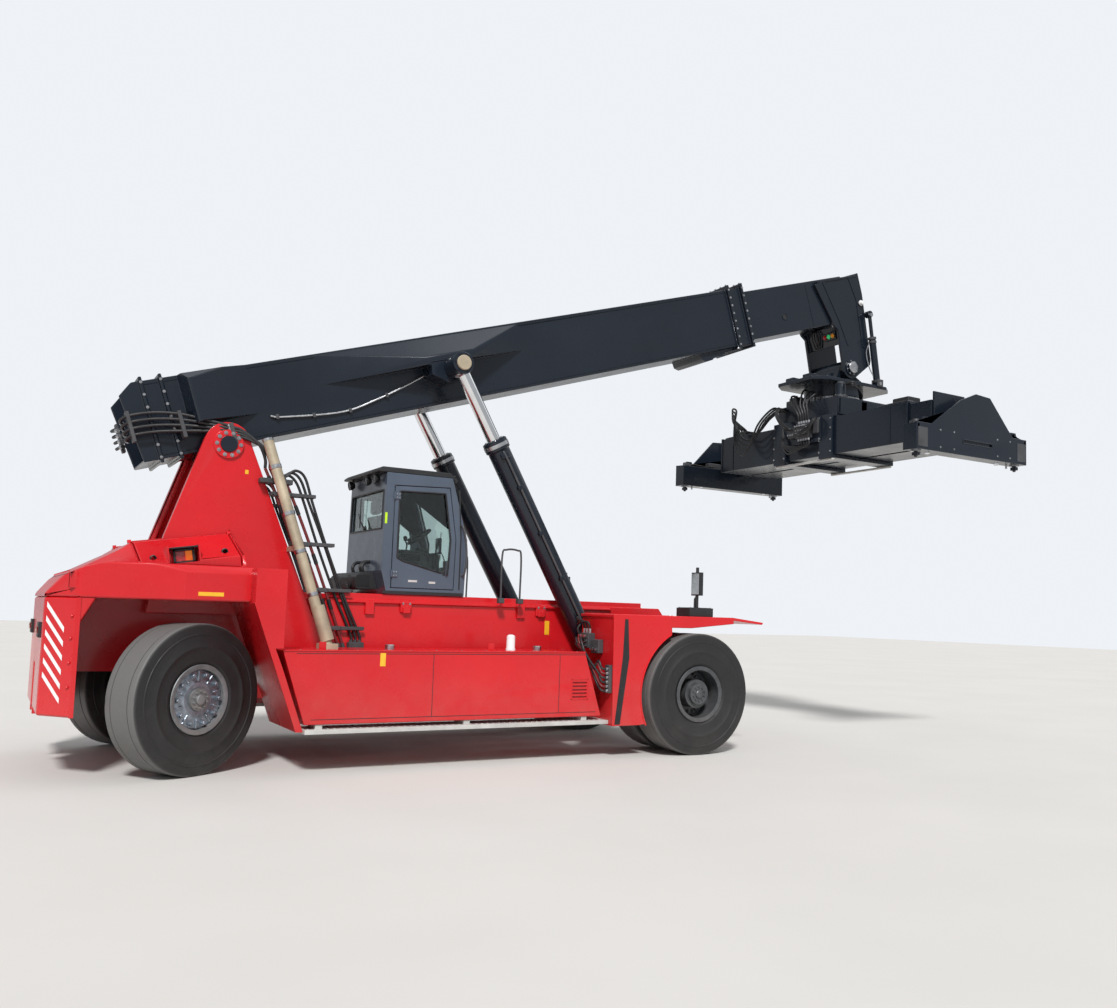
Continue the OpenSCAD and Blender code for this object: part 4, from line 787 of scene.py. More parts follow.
# Non-slip studs: one low six-sided cone per grid point of the walkways and of the fender tops
def stepStuds():
    s = studSpec

    def studs(x0, x1, y0, y1, z):
        xs, ys = np.meshgrid(np.arange(x0, x1, s["pitch"]), np.arange(y0, y1, s["pitch"]), indexing="ij")
        base = np.stack([xs.ravel(), ys.ravel(), np.full(xs.size, z)], -1)
        a = np.linspace(0, 2 * np.pi, 6, endpoint=False)
        ring = np.stack([np.cos(a), np.sin(a), np.zeros(6)], -1)
        low, high = base[:, None] + ring * s["foot"], base[:, None] + ring * s["top"] + [0, 0, s["rise"]]
        points = np.concatenate([low, high], 1).reshape(-1, 3)
        k = np.arange(6)
        n = (k + 1) % 6
        quads = np.stack([k, n, n + 6, k + 6], -1)[None] + np.arange(len(base))[:, None, None] * 12
        tops = (np.arange(6, 12)[None] + np.arange(len(base))[:, None] * 12).tolist()
        return points, quads.reshape(-1, 4).tolist() + tops

    walk = onBothSides([studs(-5.18, -1.36, 1.52, 1.88, 0.4895)])
    top = onBothSides([studs(-1.25, -0.30, 1.20, 1.95, 1.8595)])
    makePiece("walkwayStuds", "root", look["stepGrey"], walk, "step_grey")
    makePiece("fenderStuds", "root", look["bodyPaint"], top, "body_paint")


stepStuds()

archSpec = dict(radius=0.905, centre=0.815, side=2.0, turn=(206, 119), points=28, lip=0.012)


# Front fender fittings: arch lip, rubber strip, headlamp lenses, guards, bolts and mirror glass
def fenderFittings():
    s = archSpec
    turn = np.radians(np.linspace(*s["turn"], s["points"]))
    arch = np.stack([s["radius"] * np.cos(turn), np.full(s["points"], s["side"]),
                     s["centre"] + s["radius"] * np.sin(turn)], -1)
    strip = [(-1.30, 0.44), (-1.22, 0.44), (-1.10, 1.30), (-1.13, 1.80), (-1.18, 1.80), (-1.20, 1.30)]
    rubber = [prism(strip, "y", 1.999, 2.004, 0.001), block((0.60, 1.14, 1.775), (0.64, 1.98, 1.80))]
    lens = revolved([(0.0005, 0.012), (0.035, 0.010), (0.048, 0.0), (0.048, -0.01), (0.0005, -0.01)],
                    (0.341, 1.78, 1.92), (1, 0, 0), 32)
    guards = [tube([(0.02, 1.88, 1.98), (0.02, 1.88, 2.10), (0.06, 1.88, 2.16)], 0.012, 8),
              block((0.302, 1.66, 1.868), (0.316, 1.90, 1.972), 0.006),
              block((-0.05, 1.64, 1.975), (0.25, 1.92, 1.985), 0.003)]
    steel = bolts([(x, y, 1.98) for x in (-0.07, 0.27) for y in (1.65, 1.91)], (0, 0, 1), 0.010, 0.008)
    mirror = block((0.024, 1.795, 2.165), (0.0295, 1.965, 2.455), 0.002)
    makePiece("fenderLips", "root", look["bodyPaint"], onBothSides([tube(arch, s["lip"], 8)]), "body_paint")
    makePiece("fenderRubber", "root", look["rubberHose"], onBothSides(rubber), "tyre")
    makePiece("headLampLenses", "root", look["clearLens"], onBothSides([lens]), "glass")
    makePiece("headLampGuards", "root", look["blackPlastic"], onBothSides(guards), "black_plastic")
    makePiece("headLampBolts", "root", look["bareMetal"], onBothSides(steel), "dark_steel")
    makePiece("mirrorGlass", "root", look["chromeRod"], onBothSides([mirror]), "chrome")


fenderFittings()

exhaustRun = dict(foot=(-4.86, -1.30, 1.40), top=(-5.58, -0.90, 3.81), clamps=(0.62, 1.15, 1.62, 2.2))


# Tower fittings: bolts of the pivot's keeper rings, and the exhaust pipe's clamps and end rim
def towerFittings():
    steel, clamp = [], []
    for side in (rightSide, leftSide):
        centre = boomPivot + [0, side * 0.730, 0]
        steel += bolts(ringOf(centre, (0, side, 0), 0.135, 10), (0, side, 0), 0.016, 0.016)
    start, end = fromAxle([exhaustRun["foot"], exhaustRun["top"]])
    along = (end - start) / np.linalg.norm(end - start)
    for t in exhaustRun["clamps"]:
        c = start + along * t
        clamp.append(revolved([(0.061, -0.022), (0.068, -0.022), (0.070, 0.022), (0.061, 0.022)], c, along,
                              32))
        clamp.append(tube([c + [0, 0.066, 0], c + [0, 0.13, 0.01]], 0.012, 8))
    rim = start + along * (np.linalg.norm(end - start) - 0.004)
    clamp.append(revolved([(0.049, -0.02), (0.064, -0.02), (0.066, 0.008), (0.051, 0.010)], rim, along, 32))
    makePiece("pivotBolts", "root", look["bareMetal"], steel, "dark_steel")
    makePiece("exhaustClamps", "root", look["bareMetal"], clamp, "dark_steel")


towerFittings()

hoseRun = dict(count=4, pitch=0.055, radius=0.019, offset=0.06, step=0.008)


# Hoses down the tower's front, each a smooth path through the clamps, with fittings and sleeves
def towerHoses():
    h = hoseRun
    hoses, sleeves, ends = [], [], []
    spine = np.array([(-5.56, 0, 3.48), (-5.40, 0, 3.15), (-5.17, 0, 2.60), (-4.93, 0, 2.00),
                      (-4.69, 0, 1.39)])
    for side in (rightSide, leftSide):
        for i in range(h["count"]):
            y = 0.70 + h["offset"] + h["step"] * i
            run = spine + [h["pitch"] * i, y, 0]
            sway = np.array([0, 0.006, 0.014, 0.012, 0]) * (1 if i % 2 else -1)
            run[:, 0] += sway
            path = fromAxle(smoothPath(run, 10)) * [1, side, 1]
            hoses.append(tube(path, h["radius"], 12))
            for k in (3, 12, 22, 31):
                sleeves.append(tube(path[k:k + 3], h["radius"] * 1.28, 12))
            way = (path[-1] - path[-2]) / np.linalg.norm(path[-1] - path[-2])
            ends.append(tube([path[-1] - way * 0.02, path[-1] + way * 0.05], 0.024, 6))
    return hoses, sleeves, ends


# Three more hoses ahead of those, from a bulkhead at the pivot to one at the frame, with longer clamp bars
def frontHoses():
    h = hoseRun
    hoses, plates = [], []
    spine = np.array([(-5.40, 0, 3.36), (-5.30, 0, 3.42), (-5.19, 0, 3.34), (-5.08, 0, 3.10),
                      (-4.88, 0, 2.60), (-4.64, 0, 2.00), (-4.43, 0, 1.52), (-4.42, 0, 1.42)])
    for side in (rightSide, leftSide):
        for i in range(3):
            run = spine + [h["pitch"] * 0.9 * i, 0.775 + 0.012 * i, 0]
            run[:3, 2] += 0.03 * i
            run[3:7, 0] += np.array([0.004, 0.018, 0.012, 0]) * (1 if i % 2 else -1)
            path = fromAxle(smoothPath(run, 8)) * [1, side, 1]
            hoses.append(tube(path, 0.017, 12))
            for end, near in ((path[0], path[1]), (path[-1], path[-2])):
                way = (end - near) / np.linalg.norm(end - near)
                plates.append(tube([end - way * 0.03, end + way * 0.03], 0.023, 6))
        made = [block((-5.62, 0.698, 3.30), (-5.24, 0.83, 3.36), 0.006),
                block((-4.46, 0.698, 1.352), (-4.27, 0.84, 1.42), 0.006)]
        for x, z in ((-5.245, 3.15), (-4.985, 2.57), (-4.745, 2.02), (-4.565, 1.56)):
            made += [block((x, 0.705, z + 0.008), (x + 0.29, 0.752, z + 0.052), 0.004),
                     block((x, 0.800, z + 0.008), (x + 0.29, 0.828, z + 0.052), 0.004)]
        plates += [placed((p * [1, side, 1], f), fromAxle) for p, f in made]
    return hoses, plates


# All hoses of the tower with their clamps; the bundle stands for the CAD's pipes
def towerPipes():
    hoses, sleeves, ends = towerHoses()
    bars = []
    for x, z in ((-5.48, 3.15), (-5.22, 2.57), (-4.98, 2.02), (-4.80, 1.56)):
        bars += [block((x - 0.005, 0.699, z), (x + 0.255, 0.722, z + 0.06)),
                 block((x - 0.005, 0.790, z + 0.005), (x + 0.255, 0.812, z + 0.055))]
        bars += [tube([(x + a, 0.70, z + 0.03), (x + a, 0.826, z + 0.03)], 0.009, 6)
                 for a in (0.012, 0.12, 0.238)]
    front, plates = frontHoses()
    makePiece("towerHosesFront", "root", look["rubberHose"], front, "tyre")
    clamps = onBothSides(bars) + plates
    piece = makePiece("towerHoses", "root", look["redHose"], hoses, "tyre")
    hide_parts("tower_pipes")
    makePiece("hoseSleeves", "root", look["rubberHose"], sleeves, "tyre")
    makePiece("hoseClamps", "root", look["darkSteel"], clamps + ends, "dark_steel")


towerPipes()

footSpec = dict(hose=0.018, fitting=0.024, fittingShare=0.4)


# Valve block with its hoses at the foot of each lift cylinder
def footValves():
    s = footSpec
    blocks = [block((-0.90, 1.075, 1.30), (-0.70, 1.125, 1.52), 0.006),
              block((-0.86, 1.07, 1.36), (-0.74, 1.16, 1.46), 0.006)]
    black = [[(-0.86, 1.15, 1.38), (-0.93, 1.19, 1.26), (-1.05, 1.14, 1.16), (-1.12, 1.06, 1.02),
              (-1.10, 0.99, 0.90)],
             [(-0.80, 1.16, 1.37), (-0.84, 1.22, 1.20), (-0.96, 1.20, 1.05), (-1.06, 1.10, 0.92),
              (-1.08, 0.99, 0.84)],
             [(-0.76, 1.15, 1.44), (-0.70, 1.19, 1.56), (-0.62, 1.14, 1.66), (-0.56, 1.03, 1.70),
              (-0.50, 0.88, 1.69)]]
    red = [[(-0.83, 1.15, 1.44), (-0.90, 1.20, 1.56), (-0.84, 1.17, 1.68), (-0.70, 1.08, 1.74),
            (-0.55, 0.90, 1.73)]]
    fittings = []
    for first, second in (path[:2] for path in black + red):
        end = np.array(first) * (1 - s["fittingShare"]) + np.array(second) * s["fittingShare"]
        fittings.append(tube([first, end.tolist()], s["fitting"], 6))
    makePiece("footValves", "root", look["darkSteel"], onBothSides(blocks), "dark_steel")
    for name, paths, material in (("footHoses", black, "rubberHose"), ("footHosesRed", red, "redHose")):
        hoses = [bentTube(path, s["hose"], 8, 12) for path in paths]
        makePiece(name, "root", look[material], onBothSides(hoses), "tyre")
    makePiece("footFittings", "root", look["bareMetal"], onBothSides(fittings), "dark_steel")


footValves()

wallValves = dict(wall=-1.33, hoses=6, radius=0.015, pitch=0.052)


# Valves on the fender's rear wall: hoses that hang to its outer edge, and hoses that run towards the lift
# cylinder's barrel
def wallHoses():
    w = wallValves
    wall = w["wall"]
    black, red, metal, near = [], [], [], []
    dark = [block((wall - 0.11, 1.27, 1.40), (wall, 1.50, 1.60), 0.008),
            block((wall - 0.08, 1.52, 1.34), (wall, 1.72, 1.52), 0.008),
            block((wall - 0.05, 1.855, 0.84), (wall, 1.965, 1.20), 0.006)]
    metal += [tube([(wall - 0.11, y, z), (wall - 0.155, y, z)], 0.020, 6) for y in (1.32, 1.385, 1.45)
              for z in (1.44, 1.50, 1.56)]
    metal += [tube([(wall - 0.055, y, 1.60), (wall - 0.055, y, 1.66)], 0.022, 10) for y in (1.31, 1.38, 1.45)]
    metal += [tube([(wall - 0.08, y, 1.39), (wall - 0.115, y, 1.39)], 0.018, 6) for y in (1.55, 1.61, 1.67)]
    for i in range(w["hoses"]):
        dy, z = w["pitch"] * (i % 3), 0.87 + 0.056 * i
        start = (wall - 0.14, 1.32 + 0.065 * (i % 3), 1.44 + 0.06 * (i // 3))
        run = [start, (wall - 0.23, start[1] + 0.07, start[2] + 0.01),
               (wall - 0.20 + 0.02 * (i // 3), 1.62 + dy, 1.30 - 0.03 * i),
               (wall - 0.15, 1.80 + dy * 0.5, z + 0.12 - 0.02 * (i % 2)), (wall - 0.13, 1.91, z + 0.01),
               (wall - 0.045, 1.925, z)]
        (red if i in (1, 4) else black).append(bentTube(run, w["radius"], 7, 10))
        metal.append(tube([(wall - 0.075, 1.922, z), (wall - 0.048, 1.925, z)], 0.021, 6))
    for i in range(4):
        top = (wall - 0.055 if i < 3 else wall - 0.13, 1.31 + 0.07 * (i % 3), 1.65 if i < 3 else 1.56)
        run = [top, (top[0] - 0.03, top[1] - 0.01, top[2] + 0.09),
               (wall - 0.11, 1.19 + 0.03 * i, 1.80 - 0.03 * i), (wall - 0.03, 1.10, 1.80 - 0.05 * i),
               (wall + 0.03, 1.055, 1.74 - 0.05 * i)]
        near.append(bentTube(run, w["radius"], 7, 10))
    for name, side in sides.items():
        made = [placed((p * [1, side, 1], f), fromAxle) for p, f in near]
        piece = makePiece("barrelHoses_" + name, None, look["rubberHose"], made, "tyre")
        tuple(fromAxle([(w["wall"] - 0.11, side * 1.24, 1.74)])[0])
        tuple(fromAxle([(w["wall"] + 0.02, side * 1.06, 1.66)])[0])
        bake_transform(piece)
    for name, material, slot, parts in (("wallHoses", "rubberHose", "tyre", black),
                                        ("wallHosesRed", "redHose", "tyre", red),
                                        ("wallFittings", "bareMetal", "dark_steel", metal),
                                        ("wallBlocks", "darkSteel", "dark_steel", dark)):
        makePiece(name, "root", look[material], onBothSides(parts), slot)


wallHoses()


# Brackets under the frame's top edge, each with two bolts
def frameBrackets():
    red, bolt = [], []
    for x in (-3.72, -1.78):
        red += [block((x - 0.075, 0.738, 1.80), (x + 0.075, 0.775, 1.955), 0.008),
                block((x - 0.05, 0.77, 1.79), (x + 0.05, 0.80, 1.87), 0.008)]
        bolt += bolts([(x - 0.045, 0.775, 1.92), (x + 0.045, 0.775, 1.92)], (0, 1, 0), 0.012, 0.010)
    for name, material, slot, parts in (("frameBrackets", "bodyPaint", "body_paint", red),
                                        ("bracketBolts", "bareMetal", "dark_steel", bolt)):
        makePiece(name, "root", look[material], onBothSides(parts), slot)


frameBrackets()
print("chassis")

driverSeat = dict(rear=-3.86, cushion=2.43)


# A piece given from the drive axle, with its mirror image where asked
def cabPiece(name, material, parts, slot=None, body="cab", mirror=False):
    made = [placed(p, fromAxle) for p in parts]
    return makePiece(name, body, look[material], bothWays(made) if mirror else made, slot)


# Driver's station: sprung seat with bolsters and belts, armrests with levers, console, wheel and screen
def driverStation():
    x, z = driverSeat["rear"], driverSeat["cushion"]
    soft = [block((x, -0.215, z), (x + 0.53, 0.215, z + 0.13), 0.045),
            block((x + 0.03, 0.17, z + 0.03), (x + 0.52, 0.27, z + 0.165), 0.04),
            block((x + 0.03, -0.27, z + 0.03), (x + 0.52, -0.17, z + 0.165), 0.04)]
    back = [(x + 0.02, z + 0.12), (x + 0.13, z + 0.12), (x + 0.145, z + 0.30), (x + 0.06, z + 0.62),
            (x + 0.01, z + 0.66), (x - 0.09, z + 0.64), (x - 0.06, z + 0.40)]
    soft += [prism(back, "y", -0.20, 0.20, 0.03),
             block((x - 0.10, -0.13, z + 0.67), (x - 0.01, 0.13, z + 0.86), 0.035)]
    soft += [prism([(a - 0.005, b) for a, b in back], "y", lo, lo + 0.075, 0.025) for lo in (-0.255, 0.18)]
    soft += [block((x + 0.10, y - 0.04, z + 0.15), (x + 0.50, y + 0.04, z + 0.20), 0.02)
             for y in (-0.33, 0.33)]
    seat = cabPiece("driverSeat", "seatCloth", soft, "seat_fabric")
    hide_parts("operator_station")
    hard = [block((x + 0.05, -0.23, 2.082), (x + 0.48, 0.23, 2.15), 0.02)]
    hard += [block((x + 0.08 + 0.008 * k, -0.20 + 0.008 * k, 2.15 + 0.055 * i),
                   (x + 0.45 - 0.008 * k, 0.20 - 0.008 * k, 2.198 + 0.055 * i), 0.012)
             for i, k in enumerate((0, 1, 0, 1, 0))]
    hard += [block((x + 0.40, y - 0.05, z + 0.20), (x + 0.56, y + 0.05, z + 0.235), 0.012)
             for y in (-0.33, 0.33)]
    hard += [block((x + 0.14, y - 0.025, z - 0.03), (x + 0.20, y + 0.025, z + 0.16), 0.01)
             for y in (-0.31, 0.31)]
    hard += [bentTube([(x + 0.50, y, z + 0.23), (x + 0.51, y, z + 0.30), (x + 0.49, y, z + 0.36)],
                      0.011, 8, 8) for y in (-0.33, 0.33)]
    hard += [revolved([(0.0005, 0.05), (0.022, 0.045), (0.030, 0.02), (0.024, -0.02), (0.0005, -0.03)],
                      (x + 0.487, y, z + 0.385), (-0.2, 0, 1), 16) for y in (-0.33, 0.33)]
    hard += [block((-3.17, -0.20, 2.08), (-3.06, 0.20, 2.62), 0.03),
             tube([(-3.13, 0, 2.50), (-3.29, 0, 2.82)], [0.045, 0.032], 16),
             block((-3.14, -0.34, 2.60), (-3.10, -0.20, 2.82), 0.012)]
    centre, axis = np.array([-3.30, 0, 2.84]), np.array([-0.6, 0, 0.8])
    rim = ringOf(centre, axis, 0.175, 40)
    hard.append(tube(np.vstack([rim, rim[:1]]), 0.015, 10))
    hard += [tube([centre - axis * 0.02, ringOf(centre, axis, 0.170, 3, 30)[k]], [0.02, 0.011], 8)
             for k in range(3)]
    hard.append(tube([rim[12] + axis * 0.01, rim[12] + axis * 0.07], [0.014, 0.024], 12))
    hard += [prism([(-3.24, 2.10), (-3.18, 2.10), (-3.16, 2.24), (-3.19, 2.25)], "y", y, y + 0.07, 0.006)
             for y in (-0.15, 0.05)]
    cabPiece("driverControls", "blackPlastic", hard, "black_plastic")
    cabPiece("driverScreen", "chromeRod", [block((-3.1435, -0.33, 2.61), (-3.1405, -0.21, 2.81), 0.002)],
             "chrome")
    belt = [block((x + 0.128, -0.15, z + 0.25), (x + 0.15, -0.10, z + 0.45), 0.004),
            block((x + 0.50, 0.16, z + 0.11), (x + 0.54, 0.20, z + 0.15), 0.006)]
    cabPiece("seatBelt", "redHose", belt, "black_plastic")


driverStation()


# A tube round a closed outline, with points close to each corner so that it stays tight
def closedTube(outline, r, sides=8):
    p = np.asarray(outline, float)
    ends = []
    for a, b in zip(p, np.roll(p, -1, 0)):
        ends += [a + (b - a) * t for t in (0.0, 0.08, 0.5, 0.92)]
    ends = np.array(ends + [ends[0]])
    return tube(ends, r, sides)


# Outside of the cab: seals, wipers, lamps under the rear visor, gutter, grab rails and reflective strips
def cabOutside():
    seals = [closedTube([(-4.052, -0.645, 2.872), (-4.044, -0.645, 3.368), (-4.044, 0.645, 3.368),
                         (-4.052, 0.645, 2.872)], 0.012),
             closedTube([(-2.905, -0.645, 2.425), (-2.901, -0.645, 2.78), (-3.112, -0.645, 3.495),
                         (-3.112, 0.645, 3.495), (-2.901, 0.645, 2.78), (-2.905, 0.645, 2.425)], 0.012)]
    wipers = []
    for foot, tip, x in (((-2.885, 0.0, 2.46), (-2.895, 0.30, 2.74), 1),
                         ((-4.075, 0.0, 2.90), (-4.068, 0.30, 3.12), -1)):
        foot, tip = np.array(foot), np.array(tip)
        wipers += [tube([foot, (foot + tip) / 2 + [0.015 * x, 0, 0], tip], [0.012, 0.009, 0.006], 8),
                   block(tip + [-0.006, -0.10, -0.20], tip + [0.006, -0.085, 0.20], 0.003),
                   tube([foot - [0.03 * x, 0, 0], foot + [0.012 * x, 0, 0]], 0.022, 12)]
    seals += wipers
    cabPiece("cabSeals", "rubberHose", seals, "black_plastic")
    lamps, lenses = [], []
    for y in (-0.52, -0.18, 0.52):
        lamps += [revolved([(0.0005, 0.05), (0.035, 0.045), (0.058, 0.01), (0.060, -0.03), (0.052, -0.03),
                            (0.050, -0.018), (0.0005, -0.018)], (-4.115, y, 3.515), (1, 0, 0.18), 28),
                  tube([(-4.10, y, 3.54), (-4.095, y, 3.592)], 0.012, 8)]
        lenses.append(revolved([(0.0005, -0.026), (0.046, -0.024), (0.050, -0.018), (0.0005, -0.018)],
                               (-4.115, y, 3.515), (1, 0, 0.18), 28))
    for y in (-0.5, -0.2, 0.2, 0.5):
        lamps += [block((-3.105, y - 0.075, 3.59), (-3.045, y + 0.075, 3.655), 0.012)]
        lenses.append(block((-3.046, y - 0.065, 3.598), (-3.038, y + 0.065, 3.648), 0.004))
    lamps += [block((-3.95, y, 3.662), (-3.30, y + 0.02, 3.672), 0.004) for y in (-0.62, 0.60)]
    lamps += [revolved([(0.0005, 0.01), (0.035, 0.01), (0.035, -0.012), (0.0005, -0.012)],
                       (-3.90, -0.30, 3.672), (0, 0, 1), 24)]
    cabPiece("cabLamps", "blackPlastic", lamps, "black_plastic")
    cabPiece("cabLampLenses", "clearLens", lenses, "glass")
    rails = [bentTube([(-2.965, 0.745, 2.30), (-2.945, 0.785, 2.34), (-2.925, 0.79, 2.55),
                       (-2.945, 0.785, 2.78), (-2.985, 0.78, 2.94), (-3.00, 0.745, 2.97)], 0.013, 6, 10)]
    cabPiece("grabRails", "darkSteel", rails, "dark_steel", mirror=True)
    cabPiece("cabStrips", "limeMark", [block((-4.045, 0.7345, 2.93), (-4.015, 0.7375, 3.07), 0.001)],
             "cab_paint", mirror=True)
    trim = [block((-4.03, 0.7345, 2.04), (-2.94, 0.739, 2.075), 0.002),
            prism([(-3.052, 3.44), (-3.032, 3.44), (-2.985, 2.80), (-2.985, 2.12), (-3.005, 2.12),
                   (-3.005, 2.80)], "y", 0.7345, 0.738, 0.001)]
    cabPiece("cabTrim", "blackPlastic", trim, "black_plastic", mirror=True)
    feet = [block((x - 0.10, 0.50, 2.0305), (x + 0.10, 0.70, 2.06), 0.006) for x in (-3.85, -3.05)]
    cabPiece("cabFeet", "darkSteel", feet, "dark_steel", mirror=True)


look["limeMark"] = finish("limeMark", (0.55, 0.85, 0.02), gloss=(0.25, 0.4), patch=9, grain=(300, 0.02))[0]
cabOutside()


# Door fittings: window seal, handle with its cup, inner rail, hinge bolts and two small blank plates
def doorFittings(name, side):
    body = "cab_door_" + name
    window = [(-3.86, 2.50), (-3.78, 2.46), (-3.26, 2.33), (-3.16, 2.39), (-3.14, 2.77), (-3.235, 3.375),
              (-3.86, 3.36)]
    rubber = [closedTube([(x, 0.736, z) for x, z in window], 0.011)]
    handle = [block((-3.235, 0.736, 2.30), (-3.155, 0.742, 2.49), 0.006),
              bentTube([(-3.185, 0.745, 2.31), (-3.185, 0.768, 2.33), (-3.185, 0.768, 2.46),
                        (-3.185, 0.745, 2.48)], 0.010, 6, 8)]
    plates = [block((-3.70, 0.7345, 2.195), (-3.58, 0.7372, 2.222), 0.001),
              block((-3.42, 0.7345, 2.185), (-3.33, 0.7372, 2.212), 0.001)]
    steel = bolts([(x, 0.747, z) for x in (-3.90, -3.865) for z in (2.272, 2.318, 3.272, 3.318)], (0, 1, 0),
                  0.007, 0.006)
    rails = [bentTube([(-3.83, 0.70, 2.55), (-3.83, 0.665, 2.58), (-3.83, 0.665, 2.95),
                       (-3.83, 0.70, 2.98)], 0.011, 6, 8)]
    for label, parts, material, slot in (("Seal", rubber, "rubberHose", "black_plastic"),
                                         ("Handle", handle + rails, "blackPlastic", "black_plastic"),
                                         ("Plates", plates, "stepGrey", "step_grey"),
                                         ("Bolts", steel, "bareMetal", "dark_steel")):
        made = [placed(p, fromAxle) for p in parts]
        makePiece("door" + label + "_" + name, body, look[material],
                  [mirrored(p) for p in made] if side < 0 else made, slot)


for name, side in sides.items():
    doorFittings(name, side)


coolerSpec = dict(fans=(-0.14, 0.36), fins=14, pitch=0.0125, hose=0.022)


# Cooler behind the cab's foot: fan rings, fins and hoses into the cab
def coolerFittings():
    s = coolerSpec
    parts = []
    for y in s["fans"]:
        centre = (-4.285, y, 2.175)
        parts += [revolved([(0.075, -0.012), (0.088, -0.012), (0.092, 0.004), (0.075, 0.006)], centre,
                           (-1, 0, 0.0), 36)]
        parts += [revolved([(r, -0.008), (r + 0.004, -0.008), (r + 0.004, 0.0), (r, 0.0)], centre,
                           (-1, 0, 0), 30) for r in (0.02, 0.04, 0.06)]
    for y0, y1 in ((0.60, 0.683), (-0.428, -0.40)):
        parts += [block((-4.275 + s["pitch"] * i, y0, 2.12), (-4.269 + s["pitch"] * i, y1, 2.27), 0.001)
                  for i in range(s["fins"])]
    cabPiece("coolerFans", "blackPlastic", parts, "black_plastic")
    hoses = [bentTube([(-4.15, y, 2.30), (-4.17, y, 2.38), (-4.12, y + 0.03, 2.44),
                       (-4.05, y + 0.04, 2.45)], s["hose"], 6, 10) for y in (-0.30, -0.22, 0.10)]
    cabPiece("coolerHoses", "rubberHose", hoses, "black_plastic")


coolerFittings()

# Grab rails on the frame ahead of the cab
guard = [bentTube([(-2.46, 0.90, 2.02), (-2.46, 0.90, 2.60), (-2.40, 0.90, 2.68), (-2.24, 0.90, 2.68),
                   (-2.18, 0.90, 2.60), (-2.18, 0.90, 2.02)], 0.013, 6, 10)]
guard += [block((x - 0.04, 0.86, 1.96), (x + 0.04, 0.94, 2.03), 0.006) for x in (-2.46, -2.18)]
cabPiece("frameRails", "darkSteel", guard, "dark_steel", "root", True)
print("cab")


# A piece given along the boom, with its mirror image unless told otherwise
def boomPiece(name, material, parts, slot=None, body="boom", mirror=True):
    made = [placed(p, fromBoom) for p in parts]
    return makePiece(name, body, look[material], bothWays(made) if mirror else made, slot)


boomSpec = dict(hoses=4, pitch=0.075, hose=0.019)
liftEye = dict(along=3.05, apart=0.935, over=0.42, inner=0.1395, outer=0.146, back=0.150, half=0.160)


